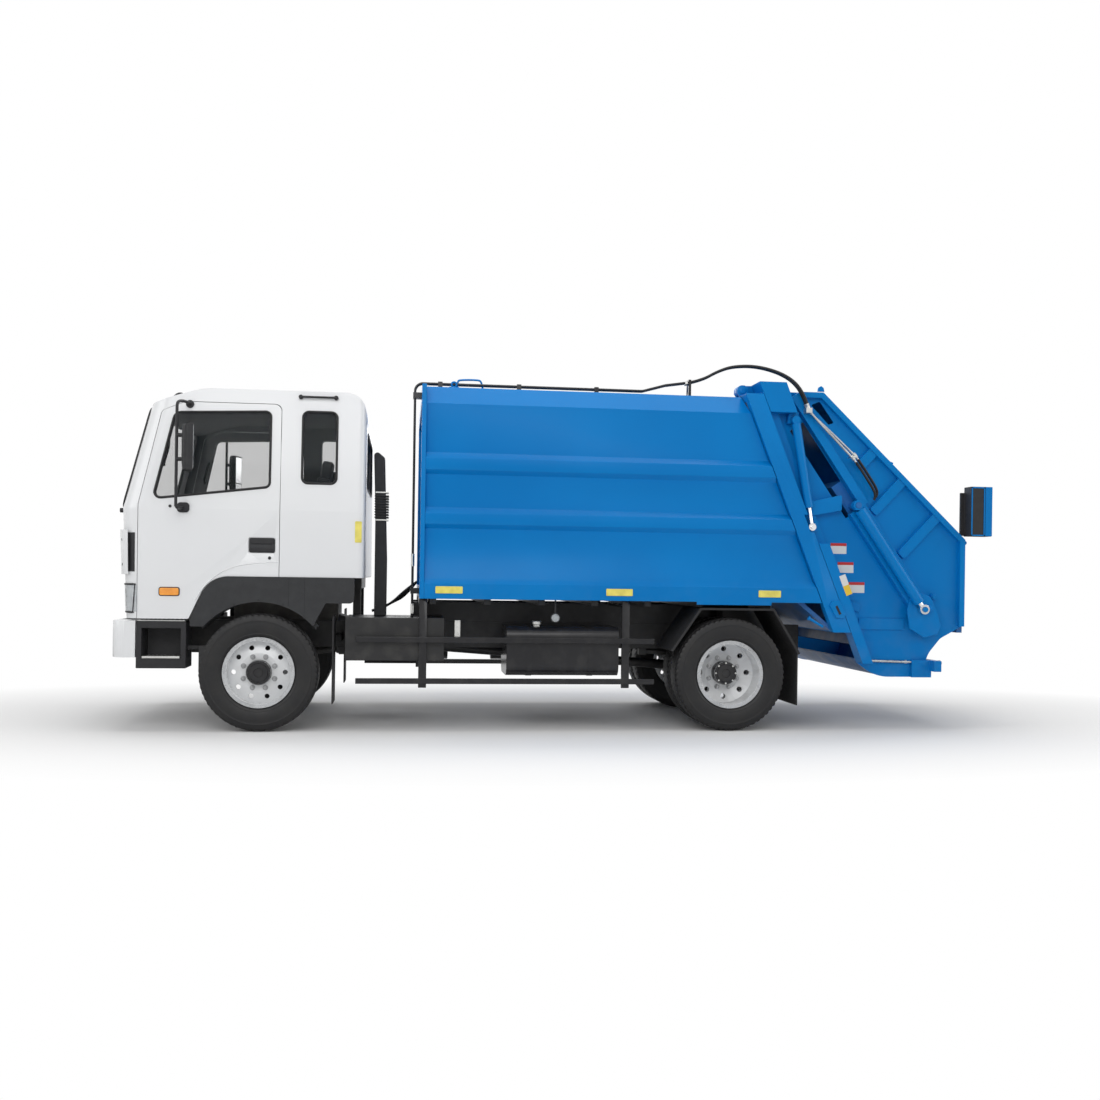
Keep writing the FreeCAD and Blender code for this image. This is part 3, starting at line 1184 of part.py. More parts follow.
for y in (-600, 600):
    mid = y - 10
    tube = bar(f"blade_tube_{y}", between(35, mid), between(620, mid), 42, 22.05)
    eye = rod(f"blade_eye_{y}", (anchor_x, mid - 44.7, anchor_z), "y", 40, 75)
    hole = rod(f"blade_eye_hole_{y}", (anchor_x, mid - 46, anchor_z), "y", 20.05, 80)
    blade_barrels.append(cut(f"blade_barrel_{y}", fuse(f"blade_barrel_solid_{y}", tube, eye), hole))
    stem = bar(f"blade_stem_{y}", between(380, mid), between(span - 30, mid), 22)
    rod_eye = rod(f"blade_rod_eye_{y}", (lever_x, mid - 39.7, lever_z), "y", 38, 65)
    blade_rods.append(fuse(f"blade_rod_{y}", stem, rod_eye))
node("blade_barrels", *blade_barrels)
node("blade_rods", *blade_rods)


# Lift cylinders at the sides of the tailgate

lift_span = math.hypot(s.lift_low_x - s.lift_top_x, s.lift_top_z - s.lift_low_z)
lift_way = ((s.lift_low_x - s.lift_top_x) / lift_span, (s.lift_low_z - s.lift_top_z) / lift_span)


def lift_point(distance, y):
    return station(s.lift_top_x) + lift_way[0] * distance, y, s.lift_top_z + lift_way[1] * distance


lift_barrels = []
lift_rods = []
for side in (-1, 1):
    y = (s.lift_y + 3) * side
    tube = bar(f"lift_tube_{side}", lift_point(30, y), lift_point(800, y), s.lift_bore, s.lift_rod + s.running_gap)
    eye = rod(f"lift_eye_{side}", (station(s.lift_top_x), y - 25, s.lift_top_z), "y", 38, 50)
    hole = rod(f"lift_eye_hole_{side}", (station(s.lift_top_x), y - 26, s.lift_top_z), "y", 18.05, 52)
    lift_barrels.append(cut(f"lift_barrel_{side}", fuse(f"lift_barrel_solid_{side}", tube, eye), hole))
    stem = bar(f"lift_stem_{side}", lift_point(90, y), lift_point(lift_span - 28, y), s.lift_rod)
    rod_eye = rod(f"lift_rod_eye_{side}", (station(s.lift_low_x), y - 25, s.lift_low_z), "y", 34, 50)
    pin = rod(f"lift_rod_pin_{side}", (station(s.lift_low_x), y + 25 if side > 0 else y - 37, s.lift_low_z), "y", 18, 12)
    lift_rods.append(fuse(f"lift_rod_{side}", stem, rod_eye, pin))
node("lift_barrels", *lift_barrels)
node("lift_rods", *lift_rods)


# Ejector plate inside the body

ejector_low = s.body_floor + 45.3
ejector_high = s.body_roof - 195
ejector_plate = pad("ejector_face", "XZ", [
    (station(s.ejector_x), ejector_low), (station(s.ejector_x) + 120, ejector_low + 400, 200),
    (station(s.ejector_x), ejector_high), (station(s.ejector_x) - s.ejector_thick, ejector_high),
    (station(s.ejector_x) - s.ejector_thick, ejector_low)], -inner_half + 6, inner_half - 6)
node("ejector_plate", ejector_plate)


# Hydraulic pipes along the roof's left edge, and the two hoses that bridge the tailgate hinge

def smooth_path(points, bend):
    """Straight runs between points, with an arc that touches both runs at each turn."""
    corners = [Vector(*map(float, point)) for point in points]
    edges = []
    radii = []
    start = corners[0]
    for before, corner, after in zip(corners, corners[1:], corners[2:]):
        back = (before - corner).normalize()
        ahead = (after - corner).normalize()
        half_turn = (math.pi - back.getAngle(ahead)) / 2
        reach = 0.45 * min((before - corner).Length, (after - corner).Length)
        if bend:
            reach = min(reach, bend * math.tan(half_turn))
        radius = reach / math.tan(half_turn)
        radii.append(radius)
        first = corner + back * reach
        last = corner + ahead * reach
        middle = corner + (back + ahead).normalize() * (radius / math.cos(half_turn) - radius)
        edges.append(Part.LineSegment(start, first).toShape())
        edges.append(Part.Arc(first, middle, last).toShape())
        start = last
    edges.append(Part.LineSegment(start, corners[-1]).toShape())
    return Part.Wire(edges), radii


def tube_along(name, points, radius, bend=None):
    """A round tube's outside along a smooth path; prints its length and tightest bend."""
    wire, radii = smooth_path(points, bend)
    start = wire.Edges[0].valueAt(wire.Edges[0].FirstParameter)
    way = wire.Edges[0].tangentAt(wire.Edges[0].FirstParameter)
    ring = Part.Wire([Part.Circle(start, way, float(radius)).toShape()])
    solid = wire.makePipeShell([ring], True, True)
    print(f"{name}: length {wire.Length:.0f}, tightest bend {min(radii):.0f}")
    return shaped(name, solid)


pipe_roof = s.body_roof + 35
pipes = []
for number in (0, 1):
    y = -s.pipe_y + s.pipe_step * number
    drop = s.body_floor - 139 + 40 * number
    pipes.append(tube_along(f"roof_pipe_{number}", [
        (station(s.pipe_drop), -rail_outer - 0.3, drop), (station(s.pipe_drop), y, drop),
        (station(s.pipe_drop), y, pipe_roof), (station(3347), y, pipe_roof), (station(3560), y, pipe_roof + 60),
        (station(s.pipe_post + 12), y, pipe_roof + 95)], s.pipe_radius, 70))
clamp_low, clamp_high = -s.pipe_y - 25, -s.pipe_y + s.pipe_step + 25
pipe_clamps = []
for distance in (1500, 2200, 2900):
    pipe_clamps.append(box(f"roof_clamp_{distance}", (station(distance), clamp_low, s.body_roof + 0.3),
                           (station(distance + 40), clamp_high, s.body_roof + 52)))
for number, level in enumerate((s.body_floor + 40, s.body_roof - 100)):
    pipe_clamps.append(box(f"front_clamp_{number}", (station(s.pipe_drop - 17), clamp_low, level),
                           (front_x - 40.3, clamp_high, level + 50)))
pipe_post = box("pipe_post", (station(s.pipe_post - 12), clamp_low, s.body_roof + 0.3),
                (station(s.pipe_post + 12), clamp_high, s.body_roof + 150))
node("roof_pipes", fuse("roof_pipes_whole", *pipes, *pipe_clamps, pipe_post))

hose_start = station(s.pipe_post + 15.5)
beam_face = -s.gate_half_width - s.beam_out
hoses = []
for number in (0, 1):
    y = -s.pipe_y + s.pipe_step * number
    gate_y = beam_face - 60 + 40 * number
    hoses.append(tube_along(f"roof_hose_{number}", [
        (hose_start, y, pipe_roof + 95.5), (station(3910), y, 3185), (station(4040), y, 3262), (station(4190), y, 3318),
        (station(4410), y + (gate_y - y) * 0.3, 3316), (station(4640), y + (gate_y - y) * 0.7, 3232),
        (station(4775), gate_y, 3095), (station(4823), gate_y, 2965)], s.hose_radius))
node("roof_hoses", *hoses)
gate_fittings = []
for number in (0, 1):
    y = beam_face - 60 + 40 * number
    gate_fittings.append(bar(f"hose_fitting_{number}", (station(4823.3), y, 2964.3), (station(4842), y, 2905), 16))
fitting_foot = box("fitting_foot", (station(4810), beam_face - 82, 2880), (station(4866), beam_face - 0.3, 2925))
both_fittings = fuse("gate_fittings_whole", fitting_foot, *gate_fittings)
node("gate_fittings", both_fittings)


# Check every object, then write one file a node

doc.recompute()
failed = [item.Name for item in doc.Objects if "Invalid" in item.State or "Error" in item.State]
if failed:
    raise RuntimeError(f"failed: {failed}")
os.makedirs("parts", exist_ok=True)
for label, item in nodes.items():
    shape = item.Shape
    if shape.isNull() or not shape.isValid():
        raise RuntimeError(f"{label} has no sound shape")
    shape.exportStep(f"parts/{label}.step")
print(len(nodes), "nodes")
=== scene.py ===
# %% [markdown]
# A rear-loading garbage truck, seen from its left side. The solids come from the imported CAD
# model and stay where they are. This script gives each of them its finish, rounds its edges,
# and adds what is too small or too soft for the solids: tread, lamps, seals, bolts and hoses.

# %% The frame and the units
import json
import math

import bmesh
import bpy
from mathutils import Matrix, Vector
from mathutils.bvhtree import BVHTree

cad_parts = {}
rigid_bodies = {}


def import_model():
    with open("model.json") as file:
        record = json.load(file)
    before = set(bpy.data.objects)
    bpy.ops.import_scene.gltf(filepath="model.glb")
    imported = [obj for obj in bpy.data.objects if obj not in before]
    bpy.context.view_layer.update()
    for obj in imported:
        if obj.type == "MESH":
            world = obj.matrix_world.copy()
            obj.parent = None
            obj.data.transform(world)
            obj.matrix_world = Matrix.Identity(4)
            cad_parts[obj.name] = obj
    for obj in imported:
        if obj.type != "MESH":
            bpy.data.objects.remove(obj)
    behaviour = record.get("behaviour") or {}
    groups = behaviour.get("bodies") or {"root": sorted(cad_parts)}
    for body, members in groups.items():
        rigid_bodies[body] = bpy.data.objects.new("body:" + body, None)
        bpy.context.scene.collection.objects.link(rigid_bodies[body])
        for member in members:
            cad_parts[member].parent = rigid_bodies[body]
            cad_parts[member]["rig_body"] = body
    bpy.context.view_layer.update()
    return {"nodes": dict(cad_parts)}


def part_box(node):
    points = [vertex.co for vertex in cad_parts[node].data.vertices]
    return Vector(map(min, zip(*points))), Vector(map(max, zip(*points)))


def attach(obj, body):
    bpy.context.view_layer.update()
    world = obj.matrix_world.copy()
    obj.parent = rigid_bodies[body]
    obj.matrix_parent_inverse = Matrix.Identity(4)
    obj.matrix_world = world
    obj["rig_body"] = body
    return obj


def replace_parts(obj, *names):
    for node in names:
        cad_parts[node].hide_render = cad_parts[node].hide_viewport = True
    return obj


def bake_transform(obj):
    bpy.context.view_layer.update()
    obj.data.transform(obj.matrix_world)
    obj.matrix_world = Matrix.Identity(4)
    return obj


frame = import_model()
print("nodes", len(frame["nodes"]))

# %% [markdown]
# Everything along the truck is measured back from the front axle, as a coachbuilder does.
# A few driving sizes are read from the solids, so a change there moves the details too.

# %% Driving places
MM = 0.001
LEFT = -1
RIGHT = 1
SIDES = ((LEFT, "left"), (RIGHT, "right"))
tyre_low, tyre_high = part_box("front_tyre_left")
AXLE_FRONT = (tyre_low[0] + tyre_high[0]) / 2
TYRE_RADIUS = (tyre_high[2] - tyre_low[2]) / 2
AXLE_Z = (tyre_high[2] + tyre_low[2]) / 2
TYRE_WIDTH = tyre_high[1] - tyre_low[1]
FRONT_WHEEL_Y = abs(tyre_low[1] + tyre_high[1]) / 2
rear_low, rear_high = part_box("rear_tyres_left")
AXLE_REAR = (rear_low[0] + rear_high[0]) / 2
REAR_WHEEL_Y = abs(rear_low[1] + rear_high[1]) / 2
DUAL_SPACING = rear_high[1] - rear_low[1] - TYRE_WIDTH
CAB_SIDE = abs(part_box("cab_shell")[0][1])


def station(distance):
    """X of a place this many millimetres behind the front axle."""
    return AXLE_FRONT + distance * MM


print("front axle", round(AXLE_FRONT, 4), "rear axle", round(AXLE_REAR, 4), "tyre", round(TYRE_RADIUS, 3))

# %% [markdown]
# The camera stands at eye height, ten metres off the truck's left side, a little ahead of its
# middle, and turned a few degrees towards the rear. That was fitted to the wheels, the
# corners of the body and the lamp box.

# %% Camera
CAMERA_PLACE = Vector((-1.44, -11.15, 1.38))
CAMERA_YAW = math.radians(7.25)
CAMERA_ROLL = math.radians(0.82)
FOCAL_PIXELS = 1142
FRAME_PIXELS = 1100
HORIZON_DROP = 25

camera_data = bpy.data.cameras.new("camera")
camera_data.sensor_width = 36
camera_data.lens = 36 * FOCAL_PIXELS / FRAME_PIXELS
camera_data.shift_y = HORIZON_DROP / FRAME_PIXELS
camera_data.clip_end = 400
camera = bpy.data.objects.new("camera", camera_data)
bpy.context.collection.objects.link(camera)
turn = Matrix.Rotation(-CAMERA_YAW, 4, "Z") @ Matrix.Rotation(math.radians(90), 4, "X")
camera.matrix_world = Matrix.Translation(CAMERA_PLACE) @ turn @ Matrix.Rotation(CAMERA_ROLL, 4, "Z")
bpy.context.scene.camera = camera
print("lens", round(camera_data.lens, 2), "mm")

# %% [markdown]
# A procedural material starts from noise on Object coordinates. Paint, rubber and plastic
# each get a slow change of colour, a finer change of roughness and a very small bump, so that
# no surface is one flat tone. One helper makes the nodes and each finish sets its numbers.

# %% Material helpers
class Finish:
    """A material under construction, with short ways to add nodes."""

    def __init__(self, name, colour, roughness, metallic=0.0):
        self.material = bpy.data.materials.new(name)
        self.material.use_nodes = True
        self.tree = self.material.node_tree
        self.shader = self.tree.nodes["Principled BSDF"]
        self.place = self.tree.nodes.new("ShaderNodeTexCoord")
        self.shader.inputs["Base Color"].default_value = (*colour, 1)
        self.shader.inputs["Roughness"].default_value = roughness
        self.shader.inputs["Metallic"].default_value = metallic
        self.material.diffuse_color = (*colour, 1)

    def node(self, kind, **values):
        item = self.tree.nodes.new(kind)
        for key, value in values.items():
            setattr(item, key, value)
        return item

    def link(self, start, end):
        self.tree.links.new(start, end)

    def noise(self, scale, detail=3, stretch=(1, 1, 1)):
        mapping = self.node("ShaderNodeMapping")
        mapping.inputs["Scale"].default_value = stretch
        self.link(self.place.outputs["Object"], mapping.inputs["Vector"])
        item = self.node("ShaderNodeTexNoise")
        item.inputs["Scale"].default_value = scale
        item.inputs["Detail"].default_value = detail
        self.link(mapping.outputs["Vector"], item.inputs["Vector"])
        return item.outputs["Fac"]

    def ramp(self, source, low, high, start=0.0, end=1.0):
        item = self.node("ShaderNodeMapRange")
        item.inputs["From Min"].default_value = low
        item.inputs["From Max"].default_value = high
        item.inputs["To Min"].default_value = start
        item.inputs["To Max"].default_value = end
        self.link(source, item.inputs["Value"])
        return item.outputs["Result"]

    def times(self, one, two):
        item = self.node("ShaderNodeMath", operation="MULTIPLY")
        self.link(one, item.inputs[0])
        if isinstance(two, (int, float)):
            item.inputs[1].default_value = two
        else:
            self.link(two, item.inputs[1])
        return item.outputs[0]

    def mix(self, mask, first, second):
        """Blend a colour, or what is already mixed, with another where the mask says."""
        item = self.node("ShaderNodeMix", data_type="RGBA")
        self.link(mask, item.inputs["Factor"])
        for socket, value in (("A", first), ("B", second)):
            target = next(s for s in item.inputs if s.name == socket and s.type == "RGBA")
            if isinstance(value, tuple):
                target.default_value = (*value, 1)
            else:
                self.link(value, target)
        return next(s for s in item.outputs if s.type == "RGBA")

    def height(self):
        """Height above the ground, in metres."""
        item = self.node("ShaderNodeSeparateXYZ")
        self.link(self.place.outputs["Object"], item.inputs[0])
        return item.outputs["Z"]

    def colour(self, source):
        self.link(source, self.shader.inputs["Base Color"])

    def roughness(self, source):
        self.link(source, self.shader.inputs["Roughness"])

    def bump(self, source, strength, distance=0.001):
        item = self.node("ShaderNodeBump")
        item.inputs["Strength"].default_value = strength
        item.inputs["Distance"].default_value = distance
        self.link(source, item.inputs["Height"])
        self.link(item.outputs["Normal"], self.shader.inputs["Normal"])

    def set(self, **values):
        for name, value in values.items():
            self.shader.inputs[name.replace("_", " ")].default_value = value
        return self.material


def enamel(name, colour, shade, roughness=0.3, dust=(0.42, 0.40, 0.36), dusty=0.18, gloss=0.3, coat=0.1):
    """Sprayed gloss paint: a slow drift of shade, road dust low down, and orange peel."""
    finish = Finish(name, colour, roughness)
    drift = finish.ramp(finish.noise(0.9, 2), 0.35, 0.65)
    paint = finish.mix(drift, colour, shade)
    low = finish.ramp(finish.height(), 1.5, 0.4)
    spots = finish.ramp(finish.noise(7, 5), 0.45, 0.75, 0.0, dusty)
    finish.colour(finish.mix(finish.times(low, spots), paint, dust))
    finish.roughness(finish.ramp(finish.noise(24, 4), 0.3, 0.7, roughness - 0.02, roughness + 0.03))
    finish.bump(finish.noise(260, 2), 0.03, 0.0005)
    return finish.set(Specular_IOR_Level=gloss, Coat_Weight=coat, Coat_Roughness=0.12)


def moulded(name, colour, roughness=0.55, grain=900, depth=0.25):
    """Moulded plastic or rubber: a fine grain and a dull, uneven gloss."""
    finish = Finish(name, colour, roughness)
    pale = tuple(min(1.0, c * 1.7 + 0.012) for c in colour)
    finish.colour(finish.mix(finish.ramp(finish.noise(11, 5), 0.42, 0.72, 0.0, 0.22), colour, pale))
    finish.roughness(finish.ramp(finish.noise(40, 4), 0.3, 0.7, roughness - 0.08, roughness + 0.1))
    finish.bump(finish.noise(grain, 2), depth, 0.0004)
    return finish.set(Specular_IOR_Level=0.3)


def bare_metal(name, colour, roughness=0.3, stretch=(1, 1, 1)):
    """Plated or polished metal with faint drawn lines and a few dull patches."""
    finish = Finish(name, colour, roughness, 1.0)
    finish.roughness(finish.ramp(finish.noise(60, 4, stretch), 0.3, 0.7, roughness * 0.7, roughness * 1.4))
    dull = tuple(c * 0.72 for c in colour)
    finish.colour(finish.mix(finish.ramp(finish.noise(9, 4), 0.5, 0.75), colour, dull))
    finish.bump(finish.noise(420, 2, stretch), 0.05, 0.0004)
    return finish.material


# %% [markdown]
# The finishes of this truck. The cab is a slightly cool white, the body a strong blue, and
# everything below it satin black. Colours are linear values, so they look lower than on a
# colour picker.

# %% Materials
WHITE = (0.79, 0.80, 0.81)
BLUE = (0.001, 0.200, 0.56)
BLACK = (0.016, 0.016, 0.018)

white_paint = enamel("white_paint", WHITE, (0.775, 0.785, 0.80), 0.24, dusty=0.06, gloss=0.45, coat=0.3)
blue_paint = enamel("blue_paint", BLUE, (0.001, 0.180, 0.52), 0.30, dusty=0.06, gloss=0.14, coat=0.02)
blue_worn = enamel("blue_worn", (0.012, 0.15, 0.46), (0.03, 0.10, 0.24), 0.45, dusty=0.4)
chassis_paint = enamel("chassis_paint", BLACK, (0.024, 0.024, 0.024), 0.42, dusty=0.09)
gloss_black = enamel("gloss_black", (0.014, 0.014, 0.016), (0.020, 0.020, 0.022), 0.22, dusty=0.05)
wheel_paint = enamel("wheel_paint", (0.74, 0.75, 0.76), (0.69, 0.70, 0.71), 0.24, dusty=0.05, gloss=0.6,
                     coat=0.5)
engine_paint = enamel("engine_paint", (0.07, 0.08, 0.085), (0.11, 0.10, 0.09), 0.6, dusty=0.5)
flare_plastic = moulded("flare_plastic", (0.026, 0.027, 0.029), 0.5)
dark_plastic = moulded("dark_plastic", (0.020, 0.020, 0.022), 0.5)
trim_plastic = moulded("trim_plastic", (0.040, 0.041, 0.044), 0.6)
headliner_cloth = moulded("headliner_cloth", (0.16, 0.16, 0.165), 0.85, 1400, 0.4)
seal_rubber = moulded("seal_rubber", (0.012, 0.012, 0.013), 0.42, 700, 0.15)
flap_rubber = moulded("flap_rubber", (0.024, 0.024, 0.025), 0.7, 500, 0.3)
steel_nut = bare_metal("steel_nut", (0.34, 0.345, 0.35), 0.30)
chrome = bare_metal("chrome", (0.80, 0.81, 0.82), 0.14)
zinc = bare_metal("zinc", (0.62, 0.62, 0.60), 0.34)
steel_pipe = bare_metal("steel_pipe", (0.50, 0.51, 0.52), 0.30)


def tyre_rubber():
    """Tyre rubber: a patchy black with an uneven gloss and a fine grain."""
    finish = Finish("tyre_rubber", (0.016, 0.016, 0.017), 0.62)
    patch = finish.ramp(finish.noise(6, 5), 0.40, 0.75, 0.0, 0.7)
    finish.colour(finish.mix(patch, (0.012, 0.012, 0.013), (0.021, 0.020, 0.019)))
    finish.roughness(finish.ramp(finish.noise(30, 4), 0.3, 0.7, 0.44, 0.58))
    finish.bump(finish.noise(350, 3), 0.2, 0.0005)
    return finish.set(Specular_IOR_Level=0.35)


def window_glass():
    """Tinted safety glass: thin panes let most light through and keep a hard reflection."""
    finish = Finish("window_glass", (0.02, 0.03, 0.032), 0.03)
    finish.roughness(finish.ramp(finish.noise(3, 3), 0.3, 0.8, 0.01, 0.06))
    tint = finish.ramp(finish.noise(2, 2), 0.3, 0.7)
    finish.colour(finish.mix(tint, (0.018, 0.026, 0.028), (0.026, 0.036, 0.038)))
    finish.material.surface_render_method = "BLENDED"
    return finish.set(Alpha=0.16, IOR=1.45, Specular_IOR_Level=0.35)


def seat_cloth():
    """Woven seat cloth: crossed waves make the weave, noise makes it uneven."""
    finish = Finish("seat_cloth", (0.06, 0.062, 0.07), 0.9)
    threads = []
    for axis in ("X", "Y", "Z"):
        wave = finish.node("ShaderNodeTexWave", bands_direction=axis)
        wave.inputs["Scale"].default_value = 120
        wave.inputs["Distortion"].default_value = 0.6
        finish.link(finish.place.outputs["Object"], wave.inputs["Vector"])
        threads.append(wave.outputs["Fac"])
    weave = finish.times(finish.times(threads[0], threads[1]), threads[2])
    finish.colour(finish.mix(finish.ramp(weave, 0.1, 0.6), (0.045, 0.047, 0.055), (0.10, 0.10, 0.11)))
    finish.bump(weave, 0.5, 0.0008)
    return finish.set(Sheen_Weight=0.3, Sheen_Roughness=0.5)


def clear_lens(name, colour, alpha=0.5, flute=70):
    """A moulded lamp lens with fine flutes."""
    finish = Finish(name, colour, 0.08)
    wave = finish.node("ShaderNodeTexWave", bands_direction="X")
    wave.inputs["Scale"].default_value = flute
    finish.link(finish.place.outputs["Object"], wave.inputs["Vector"])
    finish.bump(wave.outputs["Fac"], 0.25, 0.0015)
    pale = tuple(min(1, c * 1.25 + 0.02) for c in colour)
    finish.colour(finish.mix(finish.ramp(finish.noise(14, 3), 0.3, 0.7), colour, pale))
    if alpha < 1:
        finish.material.surface_render_method = "BLENDED"
    return finish.set(Alpha=alpha, Coat_Weight=0.6, Coat_Roughness=0.05)


tyre_black = tyre_rubber()
tinted_glass = window_glass()
seat_fabric = seat_cloth()
lens_clear = clear_lens("lens_clear", (0.55, 0.58, 0.60), 0.5)
lens_amber = clear_lens("lens_amber", (0.85, 0.30, 0.03), 1)
lens_red = clear_lens("lens_red", (0.50, 0.012, 0.01), 1)
lens_white = clear_lens("lens_white", (0.75, 0.77, 0.78), 1)
reflector_yellow = clear_lens("reflector_yellow", (0.72, 0.62, 0.10), 1, 160)
label_white = enamel("label_white", (0.72, 0.73, 0.72), (0.66, 0.67, 0.66), 0.4)
label_red = enamel("label_red", (0.55, 0.03, 0.03), (0.48, 0.03, 0.03), 0.4)
label_yellow = enamel("label_yellow", (0.80, 0.55, 0.05), (0.74, 0.50, 0.05), 0.4)
print("materials", len(bpy.data.materials))

# %% [markdown]
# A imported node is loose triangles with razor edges. A dressed copy of it is merged into clean
# faces, gets a small rounded edge that catches the light, and takes the node's place. The
# bevel is a few millimetres on pressed sheet and less on thin or machined pieces.

# %% Dressing a CAD node
WELD = 0.00005
AREA_GROWTH = 1.002


def body_of(node):
    """The body that a CAD node rides with."""
    return frame["nodes"][node]["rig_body"]


def new_object(name, mesh, material, body, smooth=32):
    """An object at the origin, riding with a body if one is given; edges over smooth stay crisp."""
    mesh.materials.clear()
    mesh.materials.append(material)
    mesh.polygons.foreach_set("use_smooth", [True] * len(mesh.polygons))
    mesh.set_sharp_from_angle(angle=math.radians(smooth))
    item = bpy.data.objects.new(name, mesh)
    bpy.context.collection.objects.link(item)
    if body:
        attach(item, body)
    return item


def merged(mesh, flat):
    """Merge a triangle soup into shared corners and, where flat is given, whole flat faces."""
    bm = bmesh.new()
    bm.from_mesh(mesh)
    bmesh.ops.remove_doubles(bm, verts=bm.verts, dist=WELD)
    if flat:
        bmesh.ops.dissolve_limit(bm, angle_limit=math.radians(flat), verts=bm.verts, edges=bm.edges,
                                 use_dissolve_boundaries=False, delimit=set())
    clean = bpy.data.meshes.new(mesh.name + "_merged")
    bm.to_mesh(clean)
    bm.free()
    return clean


def drawn_area(item):
    """Area of the triangles that an object is drawn with."""
    mesh = item.evaluated_get(bpy.context.evaluated_depsgraph_get()).to_mesh()
    mesh.calc_loop_triangles()
    return sum(triangle.area for triangle in mesh.loop_triangles)


def round_edges(item, width, angle=38, segments=2):
    """Give the edges sharper than an angle a small rounded edge."""
    bevel = item.modifiers.new("rounded_edges", "BEVEL")
    bevel.width = width
    bevel.segments = segments
    bevel.limit_method = "ANGLE"
    bevel.angle_limit = math.radians(angle)
    bevel.harden_normals = True
    bevel.use_clamp_overlap = True
    return item


def dress(node, material, bevel=0.0, smooth=32):
    """Replace a CAD node by its merged, rounded and painted copy.

    A flat face round an opening can be drawn across the opening once it is merged. The copy
    then has more area than the node, and keeps its triangles instead.
    """
    source = frame["nodes"][node]
    for flat in (0.4, None):
        item = new_object(node + "_dressed", merged(source.data, flat), material, body_of(node), smooth)
        if bevel:
            round_edges(item, bevel)
        if not flat or drawn_area(item) < drawn_area(source) * AREA_GROWTH:
            break
        print("kept as triangles:", node)
        bpy.data.objects.remove(item)
    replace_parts(item, node)
    return item


finishes = {
    "chassis_frame": (chassis_paint, 0.003), "axles": (chassis_paint, 0.003),
    "leaf_springs": (chassis_paint, 0.003), "engine_block": (engine_paint, 0.008),
    "fuel_tank": (gloss_black, 0.0), "side_boxes": (chassis_paint, 0.006),
    "side_guards": (gloss_black, 0.004), "front_bumper": (white_paint, 0.004),
    "entry_steps": (dark_plastic, 0.006), "air_intake": (dark_plastic, 0.008),
    "body_sides": (blue_paint, 0.004), "body_roof": (blue_paint, 0.004), "body_floor": (blue_worn, 0.003),
    "body_front": (blue_paint, 0.003), "body_subframe": (chassis_paint, 0.003),
    "rear_portal": (blue_paint, 0.003), "mudguards": (flap_rubber, 0.002),
    "cab_shell": (white_paint, 0.004), "cab_glass": (tinted_glass, 0.0),
    "fender_flares": (flare_plastic, 0.006), "dashboard": (trim_plastic, 0.008),
    "headlamps": (lens_clear, 0.0),
    "door_left": (white_paint, 0.004), "door_right": (white_paint, 0.004),
    "door_glass_left": (tinted_glass, 0.0), "door_glass_right": (tinted_glass, 0.0),
    "knuckle_left": (chassis_paint, 0.003), "knuckle_right": (chassis_paint, 0.003),
    "front_rim_left": (wheel_paint, 0.002), "front_rim_right": (wheel_paint, 0.002),
    "rear_rims_left": (wheel_paint, 0.002), "rear_rims_right": (wheel_paint, 0.002),
    "gate_sides": (blue_paint, 0.003), "gate_posts": (blue_paint, 0.003), "guide_beams": (blue_paint, 0.005),
    "gate_cover": (blue_paint, 0.003), "hopper": (blue_worn, 0.003), "gate_bar": (blue_paint, 0.004),
    "lamp_boxes": (dark_plastic, 0.004), "packer_carriage": (blue_worn, 0.004),
    "packer_barrels": (blue_paint, 0.003), "packer_rods": (chrome, 0.002),
    "packing_blade": (blue_worn, 0.004),
    "blade_barrels": (blue_paint, 0.003), "blade_rods": (chrome, 0.002), "lift_barrels": (blue_paint, 0.003),
    "lift_rods": (chrome, 0.002), "ejector_plate": (blue_worn, 0.004),
    "roof_pipes": (gloss_black, 0.0), "gate_fittings": (zinc, 0.002),
}
dressed = {}
for node, (material, bevel) in finishes.items():
    if node in frame["nodes"]:
        dressed[node] = dress(node, material, bevel)
print("made new further on:", sorted(set(frame["nodes"]) - set(finishes)))
print("dressed", len(dressed), "nodes")

# %% [markdown]
# Most details start from three shapes: a block, a round bar and a flat outline given some
# thickness. Each helper adds its shape to a mesh under construction, so that a piece made
# of several shapes stays one object.


def new_piece(name, mesh, material, body, smooth=32):
    """A detail of scene.py's own, painted and riding with a body where one is given."""
    item = new_object(name, mesh, material, body, smooth)
    return item


def finished(name, bm, material, body, bevel=0.0, smooth=32, segments=2):
    """Turn a mesh under construction into a painted object that rides with a body."""
    bmesh.ops.recalc_face_normals(bm, faces=bm.faces)
    mesh = bpy.data.meshes.new(name)
    bm.to_mesh(mesh)
    bm.free()
    item = new_piece(name, mesh, material, body, smooth)
    if bevel:
        round_edges(item, bevel, segments=segments)
    return item


def block(bm, low, high):
    """A box between two opposite corners, in any order."""
    low, high = Vector(map(min, low, high)), Vector(map(max, low, high))
    matrix = Matrix.Translation((low + high) / 2) @ Matrix.Diagonal((*(high - low), 1))
    return bmesh.ops.create_cube(bm, size=1, matrix=matrix)["verts"]


def bar(bm, start, end, radius, tip=None, segments=20):
    """A round bar between two points, or a cone where the tip has its own radius."""
    start, end = Vector(start), Vector(end)
    turn = (end - start).to_track_quat("Z", "Y").to_matrix().to_4x4()
    return bmesh.ops.create_cone(bm, cap_ends=True, segments=segments, radius1=radius,
                                 radius2=radius if tip is None else tip, depth=(end - start).length,
                                 matrix=Matrix.Translation((start + end) / 2) @ turn)["verts"]


def stud(bm, x, z, side, low, high, radius, tip=None, segments=20):
    """A round bar along Y between two distances from the truck's middle."""
    return bar(bm, (x, side * low, z), (x, side * high, z), radius, tip, segments)


